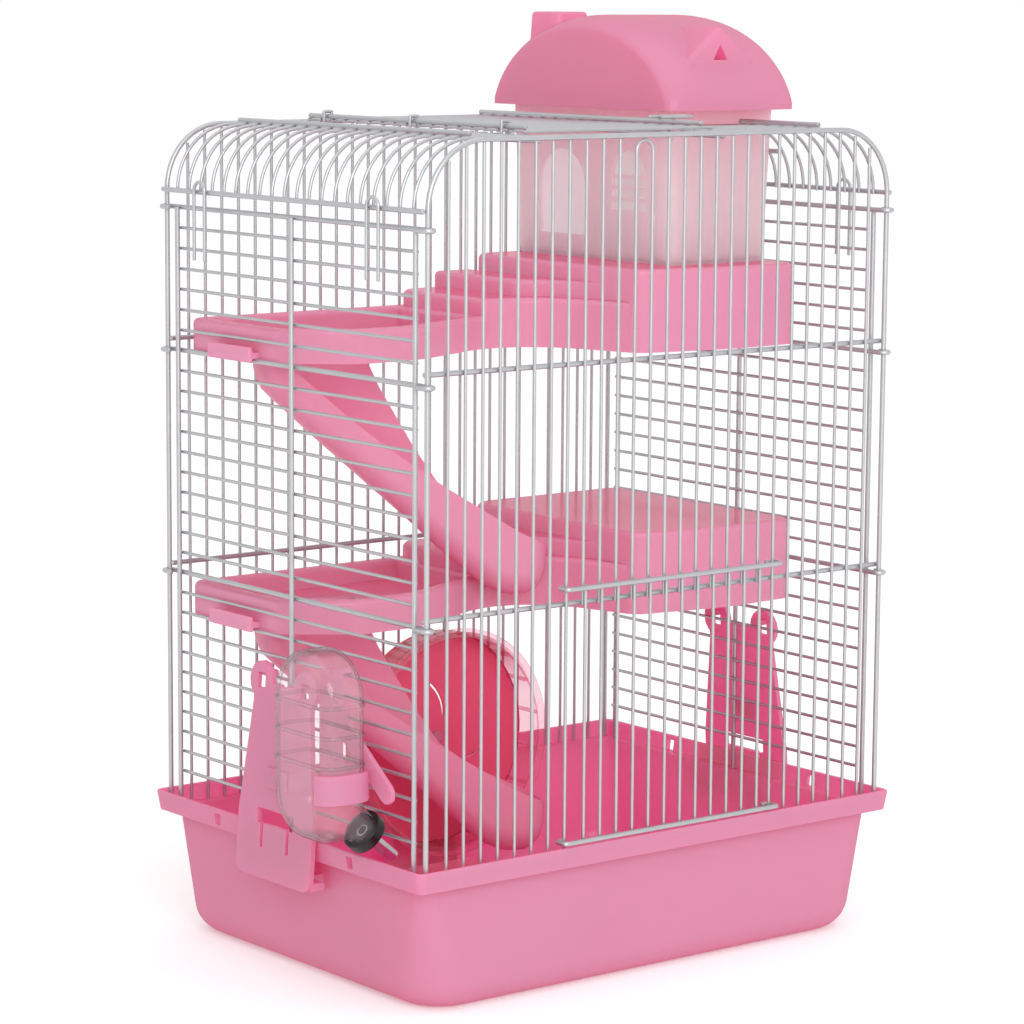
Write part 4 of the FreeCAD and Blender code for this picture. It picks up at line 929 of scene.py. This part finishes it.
def peaked(half, low, high, front, behind):
    """A three-sided bar along Y below the dormer's ridge line, its heights above the eaves."""
    corners = ((peak_x - half, low), (peak_x + half, low), (peak_x, high))
    return loft([[V((x, y, eaves_z + z)) for x, z in corners] for y in (front, behind)])


def house_roof():
    obj = piece(vault(0.0), "house_roof_moulded")
    dormer = piece(peaked(half=36.0, low=16.5, high=46.0, front=-42.0, behind=25.0), "dormer")
    soften(dormer, peak_rounding, segments=5, least=40.0)
    carve(obj, [chimney(), dormer], "UNION")
    carve(obj, [vault(roof_wall)], "DIFFERENCE")
    window = peaked(half=5.5, low=25.0, high=34.5, front=-47.0, behind=-15.0)
    carve(obj, [window], "DIFFERENCE")
    ribs = []
    for y in (house_y0, house_y1 - roof_wall):
        rib = block(house_x0 + rib_inset, house_x1 - rib_inset, y, y + roof_wall, house_top_z + rib_gap,
                    eaves_z + roof_crown)
        ribs.append(carve(piece(rib, "rib"), [vault(roof_wall / 2)], "INTERSECT"))
    return carve(obj, ribs, "UNION")


# Exercise wheel
wheel_sides, rung_count, rung_half, rung_deep, rung_inset = 112, 18, 0.9, 1.8, 0.8
ring_width, ring_thick, drum_inset, drum_draw, drum_wall, edge_break = 6.0, 2.0, 3.0, 1.0, 1.6, 0.5
disc_inset, disc_thick, disc_break, hub_long, hub_radius, hub_bore = 4.0, 2.0, 0.4, 10.0, 9.0, 2.55
slot_count, slot_chords, slot_from, slot_run, slot_half = 3, 16, 13.0, 25.0, 1.2
slot_turn, slot_sweep = 62.0, 40.0


def about_wheel(form):
    """Turns a form drawn about Z, with its height towards the back, onto the wheel's axle."""
    return moved(form, Matrix(((1, 0, 0, wheel_x), (0, 0, 1, 0), (0, -1, 0, wheel_z), (0, 0, 0, 1))))


def wheel_drum():
    y0, y1 = wheel_front_y, wheel_front_y + wheel_depth
    ring_in, outer = wheel_ring - ring_width, wheel_ring - drum_inset
    small, back, broken = outer - drum_draw, y0 + ring_thick, wheel_ring - edge_break
    profile = [(ring_in, y0 + edge_break), (ring_in + edge_break, y0), (broken, y0),
               (wheel_ring, y0 + edge_break), (wheel_ring, back - edge_break), (broken, back),
               (outer + 0.6, back), (outer, back + 0.8),
               (small, y1), (small - drum_wall, y1), (outer - drum_wall, back), (ring_in, back)]
    forms = [about_wheel(turned(profile, wheel_sides))]
    inner = small - rung_inset
    for index in range(rung_count):
        bar = block(-rung_half, rung_half, inner - rung_deep, inner, back, y1)
        turn = Matrix.Rotation(2 * pi * index / rung_count, 4, "Z")
        forms.append(about_wheel(moved(bar, turn)))
    return piece(joined(forms), "wheel_drum_moulded")


def wheel_disc():
    y0 = wheel_front_y + wheel_depth
    y1, hub_end, edge = y0 + disc_thick, y0 + hub_long, wheel_ring - disc_inset
    broken = edge - disc_break
    profile = [(hub_bore, y0), (broken, y0), (edge, y0 + disc_break), (edge, y1 - disc_break), (broken, y1),
               (hub_radius + 1.5, y1), (hub_radius + 0.3, y1 + 0.5), (hub_radius, y1 + 1.5),
               (hub_radius, hub_end - edge_break), (hub_radius - edge_break, hub_end), (hub_bore, hub_end)]
    obj = piece(about_wheel(turned(profile, wheel_sides)), "wheel_disc_moulded")
    slots = []
    for index in range(slot_count):
        near, far = [], []
        for step in range(slot_chords + 1):
            share = step / slot_chords
            radius = slot_from + slot_run * share
            angle = radians(360.0 / slot_count * index + slot_turn + slot_sweep * share)
            # Narrower towards both ends
            half = slot_half * min(1.0, 0.35 + 6 * min(share, 1 - share)) / radius
            near.append((radius * cos(angle - half), radius * sin(angle - half)))
            far.insert(0, (radius * cos(angle + half), radius * sin(angle + half)))
        slot = to_front(prism(near + far, 0, 2 * disc_thick), y1 + disc_thick / 2)
        slots.append(moved(slot, Matrix.Translation((wheel_x, 0, wheel_z))))
    return carve(obj, slots, "DIFFERENCE")


# Bottle: an arched flat flask with three grip rings and a tilted neck
bottle_chords, front_corner, back_corner = 10, 14.0, 26.0
neck_end, grip_heights, grip_sides = 10.7, (141.5, 158.5, 175.5), 10
grip_sink, grip_out, grip_up = 0.1, 0.9, 1.1
neck_level = (side_z(side_wires - 1) - thin + rim_z) / 2
neck_z = neck_level - (side_wire_x + neck_x) * tan(radians(neck_tilt))


def bottle_block(inset):
    def arch_ring(x, draw):
        half, low, spring = bottle_half - draw, bottle_low + draw, bottle_low + bottle_height - bottle_half
        plan = arc(bottle_y, spring, half, 0.0, pi, round_chords)
        for side, start, corner in ((-1, pi, front_corner), (1, 1.5 * pi, back_corner)):
            corner -= draw
            y = bottle_y + side * (half - corner)
            plan += arc(y, low + corner, corner, start, pi / 2, bottle_chords)
        return [V((x, y, z)) for y, z in plan]

    edge = bottle_edge - inset
    near, far = bottle_x0 + inset, bottle_x1 - inset
    steps = [(edge * along, inset + edge * draw) for along, draw in quarter()]
    left = [arch_ring(near + along, draw) for along, draw in steps]
    return loft(left + [arch_ring(far - along, draw) for along, draw in steps[::-1]])


def neck_place(form):
    """Tilts a form drawn along Z onto the neck's axis."""
    tilt = radians(90.0 + neck_tilt)
    return moved(form, Matrix.Translation((neck_x, neck_y, neck_z)) @ Matrix.Rotation(tilt, 4, "Y"))


def grip_ring(z):
    """A rounded bead right round the bottle's straight part."""
    path = rectangle(bottle_x0, bottle_x1, bottle_y - bottle_half, bottle_y + bottle_half, bottle_edge,
                     bottle_chords)
    rings = []
    for index, (x, y) in enumerate(path):
        back, ahead = path[index - 1], path[(index + 1) % len(path)]
        run = V((ahead[0] - back[0], ahead[1] - back[1], 0)).normalized()
        out = V((run.y, -run.x, 0))
        place = V((x, y, z)) - out * grip_sink
        rings.append([place + out * (grip_out * cos(a)) + V((0, 0, grip_up * sin(a)))
                      for a in (2 * pi * k / grip_sides for k in range(grip_sides))])
    return loft(rings + [rings[0]], False)


def bottle():
    obj = piece(bottle_block(0.0), "bottle_moulded")
    neck = prism(circle(neck_radius), -neck_radius, neck_end)
    bore = prism(circle(neck_radius - bottle_wall), -neck_radius, neck_end + 0.3)
    carve(obj, [neck_place(neck)], "UNION")
    carve(obj, [bottle_block(bottle_wall), neck_place(bore)], "DIFFERENCE")
    return absorb(obj, piece(joined([grip_ring(z) for z in grip_heights]), "grips"))


def bottle_cap():
    """A cap turned about the neck's axis from (radius, height) points."""
    profile = [(3.6, 10.8), (10.1, 10.8), (10.1, 5.3), (11.9, 5.3), (12.4, 5.8), (12.4, 11.6), (11.6, 12.3),
               (5.6, 12.3), (5.2, 12.0), (3.6, 12.0)]
    return piece(neck_place(turned(profile, 72)), "bottle_cap_moulded")


# Carried-over solids with their edges rounded
pad_in, pad_out, pad_half, pad_low, pad_high, pad_rounding = 2.5, 4.2, 10.8, 53.5, 66.0, 0.7
plate_gap, plate_lean, plate_drop = 1.3, -4.3, 56.0
copy_rounding, box_rounding, steel_rounding = 0.6, 0.4, 0.1


def rounded_copy(node, width):
    return soften(solid_copy(node), width, segments=2, least=crease)


def latch(sign, name):
    """A latch plate with the raised thumb pad that lies on its outer face."""
    obj = rounded_copy(name, copy_rounding)
    pad = piece(block(pad_in, pad_out, -pad_half, pad_half, pad_low, pad_high), "pad")
    soften(pad, pad_rounding, least=crease, keep=lambda a, b: max(a.x, b.x) > pad_out - 0.2)
    lean_x, lean = rim_x / 2 + plate_gap, radians(plate_lean)
    place = Matrix.Translation(V((lean_x, 0, rim_z)) * MM) @ Matrix.Rotation(lean, 4, "Y")
    place = place @ Matrix.Translation(V((0, 0, plate_drop - rim_z)) * MM)
    pad.data.transform(Matrix.Scale(sign, 4, (1, 0, 0)) @ place)
    if sign < 0:
        pad.data.flip_normals()
    return absorb(obj, pad)


finished(tray(), "cage", pink, "tray")
for level, name in enumerate(("upper_shelf", "middle_shelf")):
    finished(shelf(level, name), "cage", pink_lit_copy, name)
for level, name in enumerate(("upper_slide", "lower_slide")):
    finished(slide(level, name), "cage", pink_lit_copy, name)
finished(house_roof(), "house_roof", pink, "house_roof")
finished(house(), "cage", milky, "house_body")
finished(wheel_drum(), "wheel", tinted, "wheel_drum")
finished(wheel_disc(), "wheel", pink_wheel, "wheel_disc")
finished(bottle(), "cage", clear, "bottle")
finished(bottle_cap(), "cage", black, "bottle_cap")
for name in ("bottle_holder", "wheel_stand"):
    finished(rounded_copy(name, copy_rounding), "cage", pink, name)
for sign, name in ((-1, "latch_left"), (1, "latch_right")):
    finished(latch(sign, name), name, pink, name)
finished(rounded_copy("food_box", box_rounding), "food_box", box_clear, "food_box")
for name, body in (("wheel_axle", "cage"), ("bottle_tube", "cage"), ("bottle_ball", "bottle_ball")):
    finished(rounded_copy(name, steel_rounding), body, steel, name)


# Floor, light and camera
floor_low, floor_high = (0.93, 0.93, 0.93, 1.0), (0.95, 0.95, 0.95, 1.0)
floor_reach, floor_glow, glow_share, floor_gloss = 12.0, 1.3, 0.2, 0.1
floor_material, nodes, links, shader = mottled("pale_floor", floor_low, floor_high, 3.0, 0.85, 0.95, 0.02)
shader.inputs["Specular IOR Level"].default_value = floor_gloss
glow = add(nodes, "Emission", {"Strength": floor_glow})
blended(nodes, links, glow_share, shader, glow, last=True)
floor_mesh = bpy.data.meshes.new("floor")
floor_corners = [(x * floor_reach, y * floor_reach, 0) for x, y in ((-1, -1), (1, -1), (1, 1), (-1, 1))]
floor_mesh.from_pydata(floor_corners, [], [(0, 1, 2, 3)])
floor_mesh.materials.append(floor_material)
placed("floor", floor_mesh)

world = bpy.data.worlds.new("studio")
scene.world = world
world.use_nodes = True
sky = world.node_tree.nodes["Background"]
sky.inputs["Color"].default_value = (1.0, 1.0, 1.0, 1.0)
sky.inputs["Strength"].default_value = 1.0


def lamp(name, place, target, size, power):
    data = bpy.data.lights.new(name, "AREA")
    data.shape = "DISK"
    data.size = size
    data.energy = power
    obj = placed(name, data)
    obj.location = place
    obj.rotation_euler = (V(target) - V(place)).to_track_quat("-Z", "Y").to_euler()


lamp("overhead", (0.1, -0.3, 2.4), (0, 0, 0.2), 2.2, 8.0)
lamp("front", (-1.2, -2.5, 1.3), (0, 0, 0.25), 1.8, 42.0)

scene.view_settings.view_transform = "Standard"
scene.view_settings.look = "None"

# The camera's place and turn, and its focal length and shift in pixels of a square picture
eye, sensor = V((-1.3336, -1.6743, 0.5708)), 36.0
picture_px, focal_px, shift_px = 1024.0, 3579.1, (0.65, -2.26)
yaw, pitch, roll = radians(38.31), radians(-8.30), 0.0069
camera_data = bpy.data.cameras.new("camera")
camera_data.sensor_width = sensor
camera_data.lens = sensor * focal_px / picture_px
camera_data.clip_end = 100.0
camera_data.shift_x, camera_data.shift_y = (shift / picture_px for shift in shift_px)
camera = placed("camera", camera_data)
forward = V((sin(yaw) * cos(pitch), cos(yaw) * cos(pitch), sin(pitch)))
right = forward.cross(V((0, 0, 1))).normalized()
up = right.cross(forward)
turn_right = right * cos(roll) + up * sin(roll)
turn_up = up * cos(roll) - right * sin(roll)
camera.matrix_world = Matrix((
    (turn_right.x, turn_up.x, -forward.x, eye.x), (turn_right.y, turn_up.y, -forward.y, eye.y),
    (turn_right.z, turn_up.z, -forward.z, eye.z), (0, 0, 0, 1)))
scene.camera = camera
